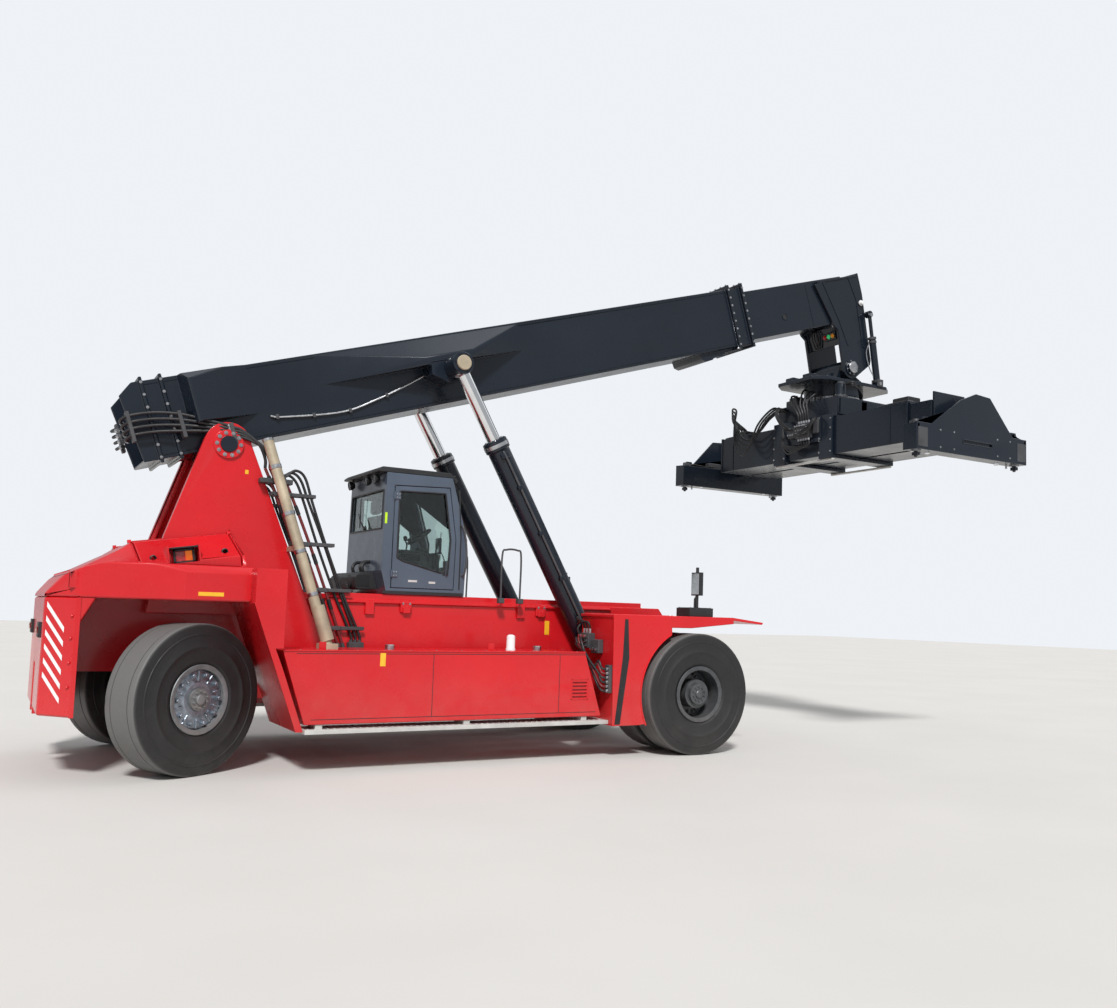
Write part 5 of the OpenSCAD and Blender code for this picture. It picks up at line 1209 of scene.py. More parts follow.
# Tail and sides of the outer boom: hose bundles with clamps, side pipe, edge welds, collar bolts and cover
def boomDetails():
    b = boomSpec
    hoses, clamps, welds, steel = [], [], [], []
    for i in range(b["hoses"]):
        dz = b["pitch"] * i
        run = [(-1.01, 0.30, 0.50 - dz * 0.9), (-1.035, 0.46, 0.52 - dz), (-0.95, 0.545, 0.545 - dz),
               (-0.70, 0.555, 0.535 - dz), (-0.42, 0.60, 0.46 - dz * 0.9), (-0.16, 0.66, 0.33 - dz * 0.6),
               (0.05, 0.70, 0.22 - dz * 0.5)]
        hoses.append(bentTube(run, b["hose"], 8, 12))
        steel.append(tube([run[-1], (0.10, 0.71, 0.185 - dz * 0.5)], 0.026, 6))
        steel.append(tube([run[0], (-0.99, 0.26, 0.495 - dz * 0.9)], 0.027, 6))
    clamps += [block((-0.98, 0.45, 0.24), (-0.94, 0.575, 0.60), 0.005),
               block((-0.445, 0.45, 0.18), (-0.40, 0.63, 0.50), 0.005),
               block((0.06, 0.40, -0.02), (0.11, 0.735, 0.24), 0.005)]
    pipe = [(0.62, 0.475, 0.26), (0.779, 0.475, 0.218), (1.511, 0.475, 0.145), (2.0, 0.475, 0.22),
            (2.399, 0.475, 0.318), (2.75, 0.48, 0.42)]
    steel.append(bentTube(pipe, 0.013, 8, 8))
    clamps += [block((x - 0.02, 0.449, z - 0.03), (x + 0.02, 0.495, z + 0.03), 0.004)
               for x, z in ((0.70, 0.235), (1.15, 0.17), (1.62, 0.145), (2.15, 0.25))]
    welds += [tube([(-0.70, 0.451, z), (8.20, 0.451, z)], 0.006, 6) for z in (0.045, 0.885)]
    welds += [tube([(-0.30, 0.33, 0.932), (8.20, 0.33, 0.932)], 0.005, 6)]
    for x in (8.2225, 8.5075):
        steel += bolts([(x, 0.511, z) for z in np.linspace(0.02, 0.91, 8)], (0, 1, 0), 0.013, 0.012)
        steel += bolts([(x, y, 0.991) for y in np.linspace(0.05, 0.46, 4)], (0, 0, 1), 0.013, 0.012)
    for x in (-0.72, -0.50):
        steel += bolts([(x, 0.496, z) for z in np.linspace(0.02, 0.91, 7)], (0, 1, 0), 0.012, 0.012)
    cover = [block((8.535, 0.20, 0.02), (8.575, 0.40, 0.062), 0.006),
             block((8.535, 0.20, 0.868), (8.575, 0.40, 0.908), 0.006),
             block((8.535, 0.394, 0.15), (8.575, 0.44, 0.33), 0.006),
             block((8.535, 0.394, 0.60), (8.575, 0.44, 0.78), 0.006)]
    eye = [(0.075 * math.cos(a) + liftEye["along"], liftEye["over"] + 0.075 * math.sin(a))
           for a in np.linspace(0, 2 * np.pi, 24, endpoint=False)]
    clamps.append(prism(eye, "y", 0.44, 0.772, 0.004))
    boomPiece("boomHoses", "rubberHose", hoses, "black_plastic")
    boomPiece("boomClamps", "darkSteel", clamps, "dark_steel")
    boomPiece("boomWelds", "boomPaint", welds, "boom_paint")
    boomPiece("boomBolts", "bareMetal", steel, "dark_steel")
    boomPiece("boomWearPads", "brass", cover, "step_grey")
    door = [block((-0.30, -0.30, 0.929), (0.55, 0.30, 0.945), 0.008),
            block((1.6, -0.20, 0.929), (2.1, 0.20, 0.942), 0.006)]
    grips = [bentTube([(x, -0.06, 0.94), (x, -0.05, 0.975), (x, 0.05, 0.975), (x, 0.06, 0.94)], 0.008, 5, 8)
             for x in (-0.18, 0.42)]
    boomPiece("boomCovers", "boomPaint", door + grips, "boom_paint", mirror=False)


boomDetails()

signalSpec = dict(first=-0.275, pitch=0.095, along=10.524, over=-0.125)


# Sliding boom and head: stiffening strips, the hole's ring with a black disc painted as the shade inside the hole,
# edge plates, signal lamps and cables
def headDetails():
    strips = [block((10.02, 0.384, 0.10), (10.055, 0.392, 0.82), 0.002)]
    strips += [prism([(10.38, 0.80), (10.42, 0.80), (10.62, 0.10), (10.70, -0.35), (10.66, -0.36),
                      (10.58, 0.10)], "y", 0.439, 0.452, 0.003),
               prism([(11.02, 0.80), (11.06, 0.80), (11.14, 0.40), (11.05, -0.45), (11.01, -0.44),
                      (11.10, 0.40)], "y", 0.439, 0.452, 0.003),
               block((10.26, 0.439, 0.80), (11.22, 0.455, 0.835), 0.003)]
    strips += [revolved([(0.045, -0.004), (0.062, -0.004), (0.060, 0.008), (0.047, 0.008)],
                        (9.406, 0.385, 0.34), (0, 1, 0), 32)]
    pinCap = [revolved([(0.0005, 0.03), (0.085, 0.028), (0.10, 0.018), (0.10, 0.0), (0.0005, 0.0)],
                       (10.63, 0.486, -0.75), (0, 1, 0), 40)]
    steel = bolts(ringOf((10.63, 0.466, -0.75), (0, 1, 0), 0.118, 8), (0, 1, 0), 0.010, 0.010)
    boomPiece("headStrips", "boomPaint", strips, "boom_paint", "boom_slide")
    boomPiece("headPinCaps", "bareMetal", pinCap + steel, "dark_steel", "boom_slide")
    # Painted shade: a flat black disc inside the ring stands for the shade in the hole
    hole = [revolved([(0.0005, 0.0), (0.046, 0.0), (0.046, -0.002), (0.0005, -0.002)],
                     (9.406, 0.3865, 0.34), (0, 1, 0), 32)]
    boomPiece("boomHoleShade", "blackPlastic", hole, "black_plastic", "boom_slide")
    hoods = []
    for k, lens in enumerate(("amberLens", "greenLens", "redLens")):
        s = signalSpec
        y = s["first"] + s["pitch"] * k
        boomPiece("signalLamp_" + lens, lens,
                  [revolved([(0.0005, 0.030), (0.030, 0.026), (0.040, 0.004), (0.040, -0.006),
                             (0.0005, -0.006)], (s["along"], y, s["over"]), (-1, 0, 0), 24)], "glass",
                  "boom_slide", False)
        hoods += [revolved([(0.041, -0.002), (0.046, -0.002), (0.046, 0.012), (0.042, 0.012)],
                           (10.526, y, s["over"]), (-1, 0, 0), 24)]
    hoods += [bentTube([(10.55, 0.10 + 0.06 * i, -0.28), (10.50, 0.09 + 0.06 * i, -0.10),
                        (10.53, 0.08 + 0.06 * i, 0.03), (10.66, 0.06 + 0.06 * i, 0.06)], 0.014, 8, 8)
              for i in range(3)]
    boomPiece("signalHoods", "rubberHose", hoods, "black_plastic", "boom_slide", False)
    ball = [revolved([(0.0005, 0.05), (0.030, 0.042), (0.050, 0.0), (0.030, -0.042), (0.0005, -0.05)],
                     (11.18, -0.47, 0.33), (0, 1, 0), 24)]
    boomPiece("headBall", "whiteMark", ball, "step_grey", "boom_slide", False)
    boomPiece("headLampFoot", "darkSteel", [tube([(11.15, -0.435, 0.36), (11.18, -0.47, 0.33)], 0.018, 8)],
              "dark_steel", "boom_slide", False)


headDetails()


# Centre of a lift cylinder's eye on the boom
def spotOf(side):
    return fromBoom([(liftEye["along"], side * liftEye["apart"], liftEye["over"])])[0]


# Lift cylinders: gland collar with its steel ring and bolts, feed pipe with brackets, foot cap, and the
# rod's eye with its cap and wiper
def liftDetails(name, side):
    place = fromLift(side)
    dark = [revolved([(0.095, 3.39), (0.145, 3.39), (0.168, 3.375), (0.170, 3.25), (0.150, 3.235),
                      (0.149, 3.20), (0.1505, 3.16), (0.130, 3.36), (0.095, 3.36)], (0, 0, 0), (0, 0, 1),
                     48)]
    steel = [revolved([(0.169, 3.285), (0.1745, 3.285), (0.1745, 3.335), (0.169, 3.335)], (0, 0, 0),
                      (0, 0, 1), 48)]
    steel += bolts([(0.12 * math.cos(a), 0.12 * math.sin(a), 3.389)
                    for a in np.radians(np.arange(0, 360, 45))], (0, 0, 1), 0.010, 0.010)
    pipe = [bentTube([(-0.02, -0.158, 0.30), (-0.02, -0.178, 0.40), (-0.02, -0.178, 1.6),
                      (-0.02, -0.178, 3.05), (-0.02, -0.160, 3.20)], 0.016, 8, 10)]
    dark += [block((-0.06, -0.20, z), (0.02, -0.145, z + 0.05), 0.005) for z in (0.62, 1.30, 1.98, 2.66)]
    dark += [block((-0.09, -0.19, 0.20), (0.05, -0.14, 0.32), 0.008),
             block((-0.08, -0.185, 3.12), (0.04, -0.14, 3.20), 0.008)]
    steel += [revolved([(0.0005, 0.018), (0.075, 0.016), (0.085, 0.0), (0.0005, 0.0)], (0, -0.126, 0),
                       (0, -1, 0), 36)]
    for label, parts, material, slot in (("Collar", dark, "boomPaint", "boom_paint"),
                                         ("Steel", steel, "bareMetal", "dark_steel"),
                                         ("Pipe", pipe, "darkSteel", "dark_steel")):
        turned = [(p * [1, -side, 1], f) for p, f in parts]
        makePiece("lift" + label + "_" + name, "barrel_" + name, look[material],
                  [placed(p, place) for p in turned], slot)
    far = float(np.dot(spotOf(side) - spot("lift_barrel_" + name), axisOf("lift_rod_" + name)))
    half = liftEye["half"]
    cover = [revolved([(liftEye["inner"], -liftEye["back"]), (liftEye["outer"], -liftEye["back"]),
                       (liftEye["outer"], half - 0.006), (liftEye["outer"] - 0.006, half + 0.001),
                       (0.060, half + 0.001), (0.060, half - 0.004), (liftEye["inner"], half - 0.004)],
                      (0, 0, far), (0, 1, 0), 48)]
    cover += bolts([(0.118 * math.cos(a), half + 0.001, far + 0.118 * math.sin(a))
                    for a in np.radians(np.arange(30, 390, 60))], (0, 1, 0), 0.010, 0.010)
    cap = [revolved([(0.0005, 0.034), (0.090, 0.032), (0.099, 0.022), (0.099, 0.0), (0.0005, 0.0)],
                    (0, half, far), (0, 1, 0), 40)]
    wiper = [revolved([(0.093, far - 0.145), (0.105, far - 0.14), (0.125, far - 0.12), (0.125, far - 0.10),
                       (0.093, far - 0.10)], (0, 0, 0), (0, 0, 1), 40)]
    grease = [tube([(0.10, 0.0, far + 0.11), (0.115, 0.0, far + 0.125)], 0.008, 6)]
    for label, parts, material, slot in (("Eye", cover, "boomPaint", "boom_paint"),
                                         ("Cap", cap, "exhaustCoat", "exhaust_steel"),
                                         ("Wiper", wiper + grease, "bareMetal", "dark_steel")):
        turned = [(p * [1, side, 1], f) for p, f in parts]
        makePiece("lift" + label + "_" + name, "rod_" + name, look[material],
                  [placed(p, place) for p in turned], slot)


for name, side in sides.items():
    liftDetails(name, side)


# Hoses between the tower's bundle and the boom's tail
def pivotHoses():
    parts = []
    for side in (rightSide, leftSide):
        for i in range(4):
            top = fromAxle([(-5.56 + 0.055 * i, 0.76 + 0.008 * i, 3.48)])[0]
            tail = fromBoom([(0.10, 0.71, 0.185 - 0.0375 * i)])[0]
            middle = (top + tail) / 2 + [0.10, 0.035, 0.05]
            path = smoothPath([top, top * 0.7 + middle * 0.3 + [0.02, 0, 0.03], middle,
                               middle * 0.3 + tail * 0.7 + [0.02, 0, 0.02], tail], 8)
            parts.append(tube(path * [1, side, 1], hoseRun["radius"], 12))
    return parts


bend = makePiece("pivotHoses", None, look["rubberHose"], pivotHoses(), "black_plastic")
tuple(fromAxle([(-5.52, 0, 3.52)])[0])
tuple(fromBoom([(0.08, 0, 0.16)])[0])
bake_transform(bend)
print("boom")


# A piece given from the head pin's vertical
def spreaderPiece(name, material, parts, slot, body):
    return makePiece(name, body, look[material], [placed(p, fromSpreader) for p in parts], slot)


hangerBody, slewBody, shiftBody = bodyOf["yoke"], bodyOf["slew_frame"], bodyOf["spreader_beam"]


# Toothed rim: radius alternates between r0 and r1 four corners to a tooth
def gearOutline(r0, r1, teeth):
    a = np.linspace(0, 2 * np.pi, teeth * 4, endpoint=False)
    r = np.where((np.arange(teeth * 4) % 4) < 2, r1, r0)
    return np.stack([r * np.cos(a), r * np.sin(a)], -1)


# Hanger: bolts of the slewing ring, damper ends, hoses down the middle, grease lines and ribs
def hangerDetails():
    steel = bolts(ringOf((0, 0, 1.62), (0, 0, 1), 0.455, 24), (0, 0, 1), 0.014, 0.016)
    dark = []
    for side in (-1, 1):
        y = side * 0.54
        low, high, top = np.array([0.53, y, 1.69]), np.array([0.40, y, 2.46]), np.array([0.33, y, 2.87])
        way = (high - low) / np.linalg.norm(high - low)
        for t, r in ((0.0, 0.075), (0.70, 0.070), (0.765, 0.072)):
            dark.append(tube([low + way * t, low + way * (t + 0.04)], r, 24))
        steel.append(tube([top - [0, side * 0.075, 0], top + [0, side * 0.055, 0]], 0.034, 20))
        steel.append(tube([(0.53, y - 0.09, 1.655), (0.53, y + 0.07, 1.655)], 0.030, 20))
        dark += [block((0.46, y + a - 0.012, 1.60), (0.60, y + a + 0.012, 1.73), 0.005)
                 for a in (-0.075, 0.055)]
        steel += [bentTube([(0.46, y - side * 0.02, 1.80), (0.40, y - side * 0.06, 1.95),
                            (0.33, y - side * 0.07, 2.20), (0.36, y - side * 0.03, 2.38)], 0.010, 6, 8)]
    hoses = [bentTube([(0.19 + 0.05 * i, -0.12 + 0.06 * k, 1.94), (0.30 + 0.05 * i, -0.14 + 0.07 * k, 1.82),
                       (0.33 + 0.03 * i, -0.13 + 0.07 * k, 1.70), (0.30, -0.10 + 0.06 * k, 1.61)],
                      0.015, 7, 10) for i, k in ((0, 0), (0, 1), (0, 2), (0, 3), (1, 1), (1, 2))]
    ribs = [prism([(-0.66, 1.619), (-0.28, 1.619), (-0.24, 1.80), (-0.30, 1.80)], "y", y, y + 0.025, 0.003)
            for y in (-0.26, 0.235)]
    ribs += [prism([(0.66, 1.619), (0.28, 1.619), (0.24, 1.80), (0.30, 1.80)], "y", y, y + 0.025, 0.003)
             for y in (-0.26, 0.235)]
    ribs += [block((-0.85, y - 0.10, 1.619), (-0.68, y + 0.10, 1.70), 0.008) for y in (-0.22, 0.22)]
    spreaderPiece("hangerBolts", "bareMetal", steel, "dark_steel", hangerBody)
    spreaderPiece("damperCollars", "darkSteel", dark, "dark_steel", hangerBody)
    spreaderPiece("hangerHoses", "rubberHose", hoses, "black_plastic", hangerBody)
    spreaderPiece("hangerRibs", "boomPaint", ribs, "boom_paint", hangerBody)


hangerDetails()

slewMotor = dict(x=0.43, y=0.62, hoses=3, hose=0.014, teeth=90)


# Slew frame: toothed rim, motors with their ports and hoses, valve manifold, strap bolts and guide rails
def slewDetails():
    m = slewMotor
    rim = [prism(gearOutline(0.497, 0.515, m["teeth"]), "z", 1.275, 1.362, 0.002)]
    dark, steel, hoses = [], [], []
    for s in (-1, 1):
        x, y = m["x"] * s, m["y"] * s
        dark += [revolved([(0.0005, 1.545), (0.055, 1.543), (0.065, 1.535), (0.065, 1.512),
                           (0.0005, 1.512)], (x, y, 0), (0, 0, 1), 28),
                 revolved([(0.094, 1.30), (0.125, 1.30), (0.125, 1.262), (0.094, 1.262)], (x, y, 0),
                          (0, 0, 1), 32),
                 block((x - 0.05, y + s * 0.06 - 0.03, 1.44), (x + 0.05, y + s * 0.10 + 0.03, 1.52), 0.006)]
        steel += bolts(ringOf((x, y, 1.30), (0, 0, 1), 0.110, 8), (0, 0, 1), 0.008, 0.008)
        for k in range(m["hoses"]):
            hoses.append(bentTube([(x - 0.03 + 0.03 * k, y + s * 0.13, 1.48),
                                   (x - 0.05 * s, y + s * 0.26, 1.50 - 0.03 * k),
                                   (x - 0.22 * s, y + s * 0.20, 1.42),
                                   (x - 0.40 * s, y + s * (0.06 + 0.03 * k), 1.33),
                                   (x - 0.50 * s, y - s * 0.02 + 0.02 * k, 1.262)], m["hose"], 7, 10))
    dark += [block((-0.50, 0.40, 1.259), (-0.22, 0.70, 1.40), 0.012),
             block((-0.46, 0.44, 1.40), (-0.28, 0.66, 1.46), 0.01)]
    steel += bolts([(x, y, 1.46) for x in (-0.43, -0.31) for y in (0.48, 0.55, 0.62)], (0, 0, 1), 0.012, 0.02)
    for y in (0.45, 0.72, -0.45, -0.72):
        for x in (-0.744, 0.744):
            steel += bolts([(x, y, z) for z in (0.30, 0.50, 0.70, 0.86)], (math.copysign(1, x), 0, 0),
                           0.012, 0.012)
    rails = [block((x - 0.03, -0.73, 0.155), (x + 0.03, 0.73, 0.188), 0.006) for x in (-0.68, 0.68)]
    covers = [block((x, y, 0.95), (x + 0.5, y + 0.012, 1.24), 0.003) for x in (-0.56, 0.06)
              for y in (-0.766, 0.755)]
    spreaderPiece("slewTeeth", "bareMetal", rim, "dark_steel", slewBody)
    spreaderPiece("slewMotors", "darkSteel", dark, "dark_steel", slewBody)
    spreaderPiece("slewBolts", "bareMetal", steel, "dark_steel", slewBody)
    spreaderPiece("slewHoses", "rubberHose", hoses, "black_plastic", slewBody)
    spreaderPiece("slewRails", "stepGrey", rails, "step_grey", slewBody)
    spreaderPiece("slewCovers", "boomPaint", covers, "boom_paint", slewBody)


slewDetails()


# Valve block across the two straps at the rear, with cartridge valves and hoses over the frame's top edge
def rearValves():
    metal, hoses = [], []
    plate = [block((-0.757, -0.50, 0.50), (-0.743, 0.50, 0.93), 0.003)]
    dark = [block((-0.865, -0.30, 0.58), (-0.757, 0.02, 0.84), 0.008),
            block((-0.835, 0.06, 0.62), (-0.757, 0.26, 0.80), 0.008),
            block((-0.80, -0.47, 0.64), (-0.757, -0.34, 0.90), 0.006)]
    for y in np.linspace(-0.265, -0.015, 5):
        metal += [tube([(-0.865, y, 0.79), (-0.905, y, 0.79), (-0.925, y, 0.79)], [0.019, 0.019, 0.012], 10),
                  tube([(-0.865, y, 0.66), (-0.895, y, 0.66)], 0.022, 6),
                  tube([(-0.815, y, 0.84), (-0.815, y, 0.885)], 0.021, 6),
                  tube([(-0.815, y, 0.58), (-0.815, y, 0.54)], 0.021, 6)]
        metal += bolts([(-0.865, y + 0.03, 0.725)], (-1, 0, 0), 0.009, 0.008)
    metal += [tube([(-0.835, y, z), (-0.865, y, z)], 0.018, 6) for y in (0.10, 0.16, 0.22)
              for z in (0.67, 0.75)]
    metal += bolts([(-0.757, s * 0.46, z) for s in (-1, 1) for z in (0.54, 0.89)], (-1, 0, 0), 0.012, 0.010)
    for k, y in enumerate(np.linspace(-0.265, -0.015, 5)):
        lift, way = 0.05 * (k % 3), -0.30 + 0.15 * k
        hoses.append(bentTube([(-0.815, y, 0.875), (-0.84, y + 0.01, 1.02), (-0.83, way * 0.6 - 0.05, 1.20),
                               (-0.72, way, 1.34 + lift), (-0.58, way + 0.02, 1.36 + lift),
                               (-0.54, way + 0.03, 1.255)], 0.016, 7, 10))
        hoses.append(bentTube([(-0.815, y, 0.545), (-0.83, y - 0.02, 0.46),
                               (-0.86, y + 0.10 + 0.03 * k, 0.42 - 0.02 * k),
                               (-0.85, 0.30 + 0.02 * k, 0.50), (-0.83, 0.37 + 0.012 * k, 0.62),
                               (-0.77, 0.40 + 0.015 * k, 0.66 + 0.04 * k)], 0.014, 7, 10))
    for k, y in enumerate((0.10, 0.16, 0.22)):
        hoses.append(bentTube([(-0.86, y, 0.75), (-0.93, y + 0.03, 0.78), (-0.92, 0.36 + 0.03 * k, 0.95),
                               (-0.86, 0.50 + 0.03 * k, 1.10), (-0.74, 0.58 + 0.03 * k, 1.20 + 0.02 * k),
                               (-0.63, 0.60 + 0.03 * k, 1.24), (-0.58, 0.60 + 0.03 * k, 1.255)],
                              0.015, 7, 10))
        hoses.append(bentTube([(-0.89, -0.265 + 0.125 * k, 0.66), (-0.95, -0.30 + 0.12 * k, 0.62),
                               (-0.94, -0.42 + 0.06 * k, 0.72), (-0.88, -0.48 + 0.03 * k, 0.86),
                               (-0.82, -0.44 + 0.02 * k, 0.90), (-0.79, -0.43 + 0.025 * k, 0.88)],
                              0.014, 7, 10))
    spreaderPiece("rearValvePlate", "boomPaint", plate, "boom_paint", slewBody)
    spreaderPiece("rearValves", "darkSteel", dark, "dark_steel", slewBody)
    spreaderPiece("rearValveFittings", "bareMetal", metal, "dark_steel", slewBody)
    spreaderPiece("rearValveHoses", "rubberHose", hoses, "black_plastic", slewBody)


rearValves()

shiftRun = dict(hoses=4, radius=0.018)


# Loops between the slew frame and the beam, slack enough for the side shift: they hang at the rear
def shiftLoops():
    parts = []
    for k in range(shiftRun["hoses"]):
        out, sag = 0.05 * k, 0.10 * k
        run = [(-0.615, 0.50 + 0.06 * k, 1.15 + 0.02 * k),
               (-0.72 - out * 0.4, 0.56 + 0.06 * k, 1.18 + 0.02 * k),
               (-0.80 - out, 0.78 + 0.05 * k, 1.06 - sag * 0.3),
               (-0.82 - out, 1.04 + 0.03 * k, 0.86 - sag * 0.8), (-0.82 - out, 1.34, 0.74 - sag),
               (-0.80 - out, 1.60, 0.84 - sag * 0.6), (-0.77 - out * 0.6, 1.80 - 0.02 * k, 1.06),
               (-0.73, 1.94 - 0.03 * k, 1.22 + sag * 0.5), (-0.66, 2.06, 1.28 + sag * 0.55),
               (-0.56 + 0.02 * k, 2.14 + 0.02 * k, 1.20 + sag * 0.3), (-0.46 + 0.06 * k, 2.12, 1.10),
               (-0.44 + 0.065 * k, 2.10, 1.02)]
        parts.append(placed(bentTube(run, shiftRun["radius"], 7, 10), fromSpreader))
    return parts


loops = makePiece("shiftLoops", None, look["rubberHose"], shiftLoops(), "black_plastic")
tuple(fromSpreader([(0, 0.76, 0)])[0])
tuple(fromSpreader([(0, 1.80, 0)])[0])
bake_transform(loops)


# Main beam: junction boxes, end collars with pads, pipes along the top, ribs and bolts
def beamDetails():
    dark, collar, pipes, steel = [], [], [], []
    for s in (-1, 1):
        for x in (-0.68, 0.04):
            low, high = s * 2.33 - 0.02, s * 2.33 + 0.02
            collar += [block((x - 0.012, low, 0.262), (x + 0.002, high, 0.902), 0.003),
                       block((x + 0.638, low, 0.262), (x + 0.652, high, 0.902), 0.003),
                       block((x - 0.012, low, 0.888), (x + 0.652, high, 0.902), 0.003)]
            steel += bolts([(x + t, s * 2.28, 0.889) for t in (0.08, 0.24, 0.40, 0.56)], (0, 0, 1), 0.012,
                           0.012)
        dark += [block((-0.48, s * 2.02 - 0.17, 0.889), (-0.20, s * 2.02 + 0.17, 1.03), 0.012),
                 block((0.16, s * 1.98 - 0.22, 0.889), (0.52, s * 1.98 + 0.22, 0.99), 0.012)]
        pipes += [bentTube([(x, s * 1.66, 0.905), (x, s * 1.80, 0.915), (x, s * 2.24, 0.915),
                            (x + 0.02, s * 2.33, 0.90), (x + 0.03, s * 2.345, 0.80)], 0.012, 6, 8)
                  for x in (-0.62, -0.58, -0.54)]
    dark += [block((-0.47, 1.80, 0.889), (-0.22, 1.92, 0.97), 0.008)]
    ribs = [block((-0.690, y, 0.27), (-0.6795, y + 0.02, 0.87), 0.002) for y in (-2.0, 1.98)]
    ribs += [block((0.6795, y, 0.27), (0.690, y + 0.02, 0.87), 0.002) for y in (-2.0, 1.98)]
    spreaderPiece("beamBoxes", "blackPlastic", dark, "black_plastic", shiftBody)
    spreaderPiece("beamCollars", "boomPaint", collar + ribs, "boom_paint", shiftBody)
    spreaderPiece("beamPipes", "darkSteel", pipes, "dark_steel", shiftBody)
    spreaderPiece("beamBolts", "bareMetal", steel, "dark_steel", shiftBody)


beamDetails()

lockSpec = dict(x=1.1295, y=2.9265)


# End beams: twistlock collars and housings, guide plates, lamps, hoses and the edge of the gusset
def endBeam(name, side):
    lockY = lockSpec["y"]
    body = "arm_" + name
    dark, steel, lens, edge, hose = [], [], [], [], []
    gusset = [(-1.26, 0.405), (-0.93, 0.405), (-0.81, 0.52), (-0.38, 0.965), (-0.06, 0.985), (0.30, 0.84),
              (0.80, 0.50), (0.93, 0.405), (1.26, 0.405)]
    for (x0, z0), (x1, z1) in zip(gusset[:-1], gusset[1:]):
        edge.append(tube([(x0, 3.041, z0 - 0.014), (x1, 3.041, z1 - 0.014)], 0.010, 6))
    edge.append(closedTube([(-0.43, 3.062, 0.185), (0.26, 3.062, 0.185), (0.26, 3.062, 0.245),
                            (-0.43, 3.062, 0.245)], 0.007))
    for x in (-lockSpec["x"], lockSpec["x"]):
        steel.append(revolved([(0.034, -0.002), (0.075, -0.002), (0.075, -0.018), (0.034, -0.018)],
                              (x, lockY, 0), (0, 0, 1), 32))
        steel += bolts([(x + a, lockY + b, 0.390) for a in (-0.06, 0.06) for b in (-0.06, 0.06)], (0, 0, 1),
                       0.012, 0.012)
        dark += [revolved([(0.0005, 0.47), (0.040, 0.465), (0.048, 0.45), (0.048, 0.389), (0.0005, 0.389)],
                          (x, lockY, 0), (0, 0, 1), 24),
                 block((x - 0.10, 3.0605, 0.04), (x + 0.10, 3.068, 0.33), 0.004),
                 block((x - 0.035, 2.82, 0.395), (x + 0.035, 2.90, 0.45), 0.008)]
        steel.append(tube([(x * 0.88, 2.88, -0.06), (x * 0.88, 2.88, 0.0)], 0.016, 12))
        lens.append(revolved([(0.0005, -0.024), (0.032, -0.022), (0.038, -0.006), (0.038, 0.0),
                              (0.0005, 0.0)], (x * 0.70, 2.85, -0.001), (0, 0, 1), 24))
        hose.append(bentTube([(x * 0.965, 2.86, 0.42), (x * 0.88, 2.84, 0.43), (x * 0.60, 2.825, 0.415),
                              (x * 0.25, 2.85, 0.44), (0.27, 2.90, 0.46)], 0.012, 7, 8))
    dark += [block((0.05, 2.84, 0.389), (0.42, 2.97, 0.53), 0.012),
             block((-0.62, 2.83, 0.389), (-0.32, 2.96, 0.50), 0.01)]
    hose.append(bentTube([(0.12, 2.88, 0.53), (0.10, 2.86, 0.70), (0.14, 2.83, 0.86), (0.22, 2.82, 0.95),
                          (0.30, 2.80, 0.94)], 0.013, 7, 8))
    steel += bolts([(x, 3.0605, z) for x in (-0.85, -0.55, 0.45, 0.75) for z in (0.07, 0.33)], (0, 1, 0),
                   0.011, 0.010)
    marks = [block((x - 0.02, 3.0600, 0.30), (x + 0.02, 3.0615, 0.375), 0.0006) for x in (-1.22, 1.22)]
    for label, parts, material, slot in (("Fittings", dark, "darkSteel", "dark_steel"),
                                         ("Steel", steel, "bareMetal", "dark_steel"),
                                         ("Lamps", lens, "clearLens", "glass"),
                                         ("Edges", edge, "boomPaint", "boom_paint"),
                                         ("Hoses", hose, "rubberHose", "black_plastic"),
                                         ("Marks", marks, "yellowMark", "cab_paint")):
        turned = [(p * [side, side, 1], f) for p, f in parts]
        makePiece("end" + label + "_" + name, body, look[material],
                  [placed(p, fromSpreader) for p in turned], slot)


for name, side in sides.items():
    endBeam(name, side)
print("spreader")

# Camera at the photograph's viewpoint: place, heading, pitch and roll from a fit to known points
photoView = dict(place=(-8.335, -13.309, 1.858), heading=31.88, pitch=4.74, roll=1.69,
                 focal=1019.5, centre=(620.0, 530.0), width=1117, height=1008)


# The camera's axes are turned by the heading, then the pitch, then the roll
def makeCamera():
    v = photoView
    yaw, pitch, roll = (math.radians(v[k]) for k in ("heading", "pitch", "roll"))
    ahead = np.array([math.sin(yaw) * math.cos(pitch), math.cos(yaw) * math.cos(pitch), math.sin(pitch)])
    right = np.array([math.cos(yaw), -math.sin(yaw), 0])
    up = np.cross(right, ahead)
    right, up = (right * math.cos(roll) + up * math.sin(roll), -right * math.sin(roll) + up * math.cos(roll))
    data = bpy.data.cameras.new("camera")
    camera = bpy.data.objects.new("camera", data)
    bpy.context.scene.collection.objects.link(camera)
    turn = np.eye(4)
    turn[:3, 0], turn[:3, 1], turn[:3, 2] = right, up, -ahead
    turn[:3, 3] = fromAxle(v["place"])
    camera.matrix_world = Matrix(turn.tolist())
    data.sensor_width = 36
    data.lens = v["focal"] * data.sensor_width / v["width"]
    data.shift_x = -(v["centre"][0] - v["width"] / 2) / v["width"]
    data.shift_y = (v["centre"][1] - v["height"] / 2) / v["width"]
    data.clip_end = 400
    bpy.context.scene.camera = camera


makeCamera()

studio = dict(floor=(0.62, 0.60, 0.57), floorSize=160, sky=(0.90, 0.93, 0.97), skyLight=0.50,
              sunTurn=(-118, 44), sunStrength=3.4, sunAngle=9, fillStrength=0.5, fillAngle=60,
              backdrop=(0.86, 0.89, 0.93))


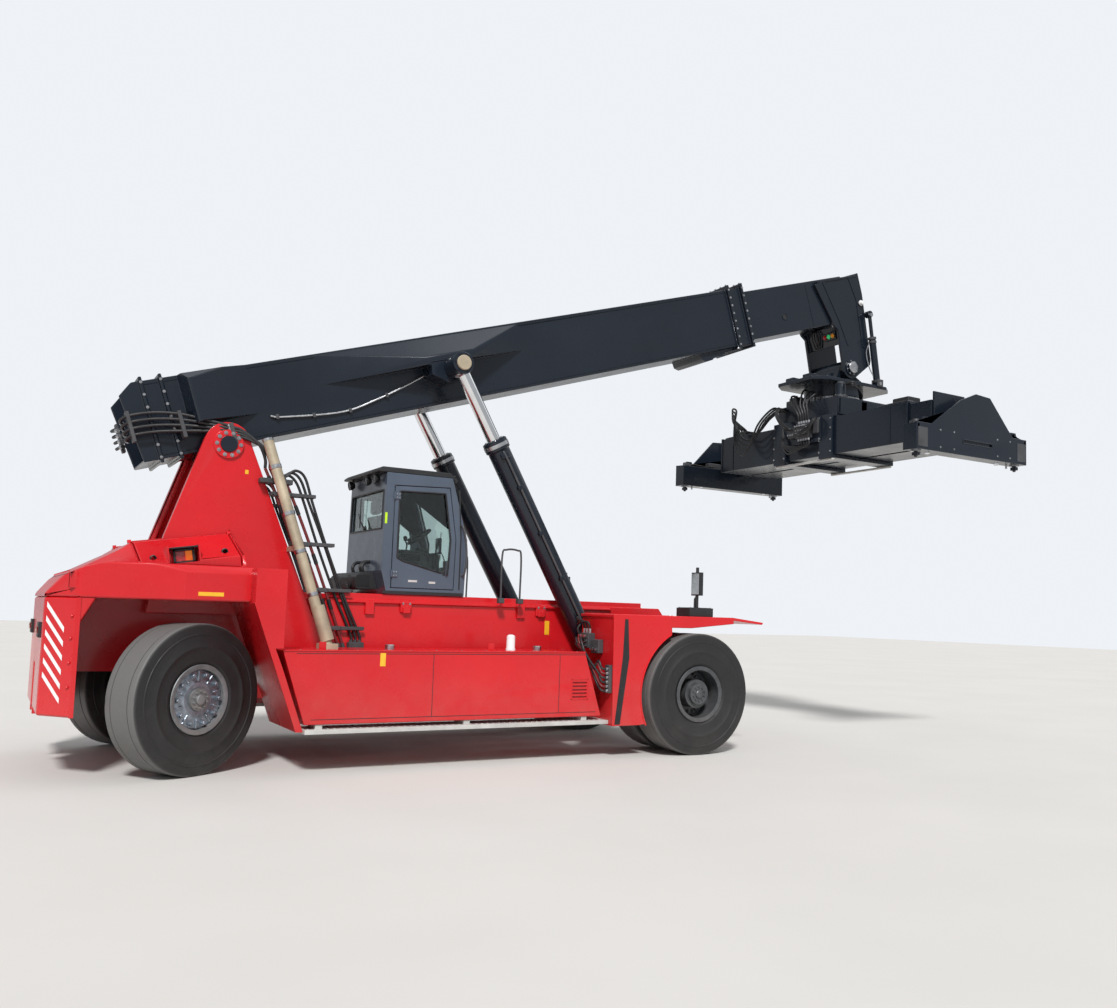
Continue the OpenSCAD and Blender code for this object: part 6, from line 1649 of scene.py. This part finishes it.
# Floor, sky light with a paler backdrop for the camera, a sun and a weaker fill light
def makeStage():
    s = studio
    half = s["floorSize"] / 2
    corners = np.array([(-half, -half, 0), (half, -half, 0), (half, half, 0), (-half, half, 0)], float)
    mesh = bpy.data.meshes.new("floor")
    mesh.from_pydata(corners.tolist(), [], [[0, 1, 2, 3]])
    floor = bpy.data.objects.new("floor", mesh)
    bpy.context.scene.collection.objects.link(floor)
    paint = finish("floorPaint", s["floor"], tone=0.96, gloss=(0.7, 0.85), patch=0.3, grain=(30, 0.02))
    mesh.materials.append(paint[0])
    world = bpy.data.worlds.new("studio")
    world.use_nodes = True
    tree = world.node_tree
    back = tree.nodes["Background"]
    back.inputs["Color"].default_value = (*s["sky"], 1)
    back.inputs["Strength"].default_value = s["skyLight"]
    seen = tree.nodes.new("ShaderNodeBackground")
    seen.inputs["Color"].default_value = (*s["backdrop"], 1)
    seen.inputs["Strength"].default_value = 1.0
    path = tree.nodes.new("ShaderNodeLightPath")
    either = tree.nodes.new("ShaderNodeMath")
    either.operation = "MAXIMUM"
    tree.links.new(path.outputs["Is Camera Ray"], either.inputs[0])
    tree.links.new(path.outputs["Is Transmission Ray"], either.inputs[1])
    mix = tree.nodes.new("ShaderNodeMixShader")
    tree.links.new(either.outputs[0], mix.inputs[0])
    tree.links.new(back.outputs[0], mix.inputs[1])
    tree.links.new(seen.outputs[0], mix.inputs[2])
    tree.links.new(mix.outputs[0], tree.nodes["World Output"].inputs["Surface"])
    bpy.context.scene.world = world
    turn, height = (math.radians(a) for a in s["sunTurn"])
    for name, a, b, strength, angle in (("sun", turn, height, s["sunStrength"], s["sunAngle"]),
                                        ("fill", turn + 2.2, 0.9, s["fillStrength"], s["fillAngle"])):
        light = bpy.data.lights.new(name, "SUN")
        light.energy = strength
        light.angle = math.radians(angle)
        lamp = bpy.data.objects.new(name, light)
        bpy.context.scene.collection.objects.link(lamp)
        lamp.rotation_euler = (math.pi / 2 - b, 0, a + math.pi / 2)


makeStage()
bpy.context.scene.view_settings.view_transform = "Standard"
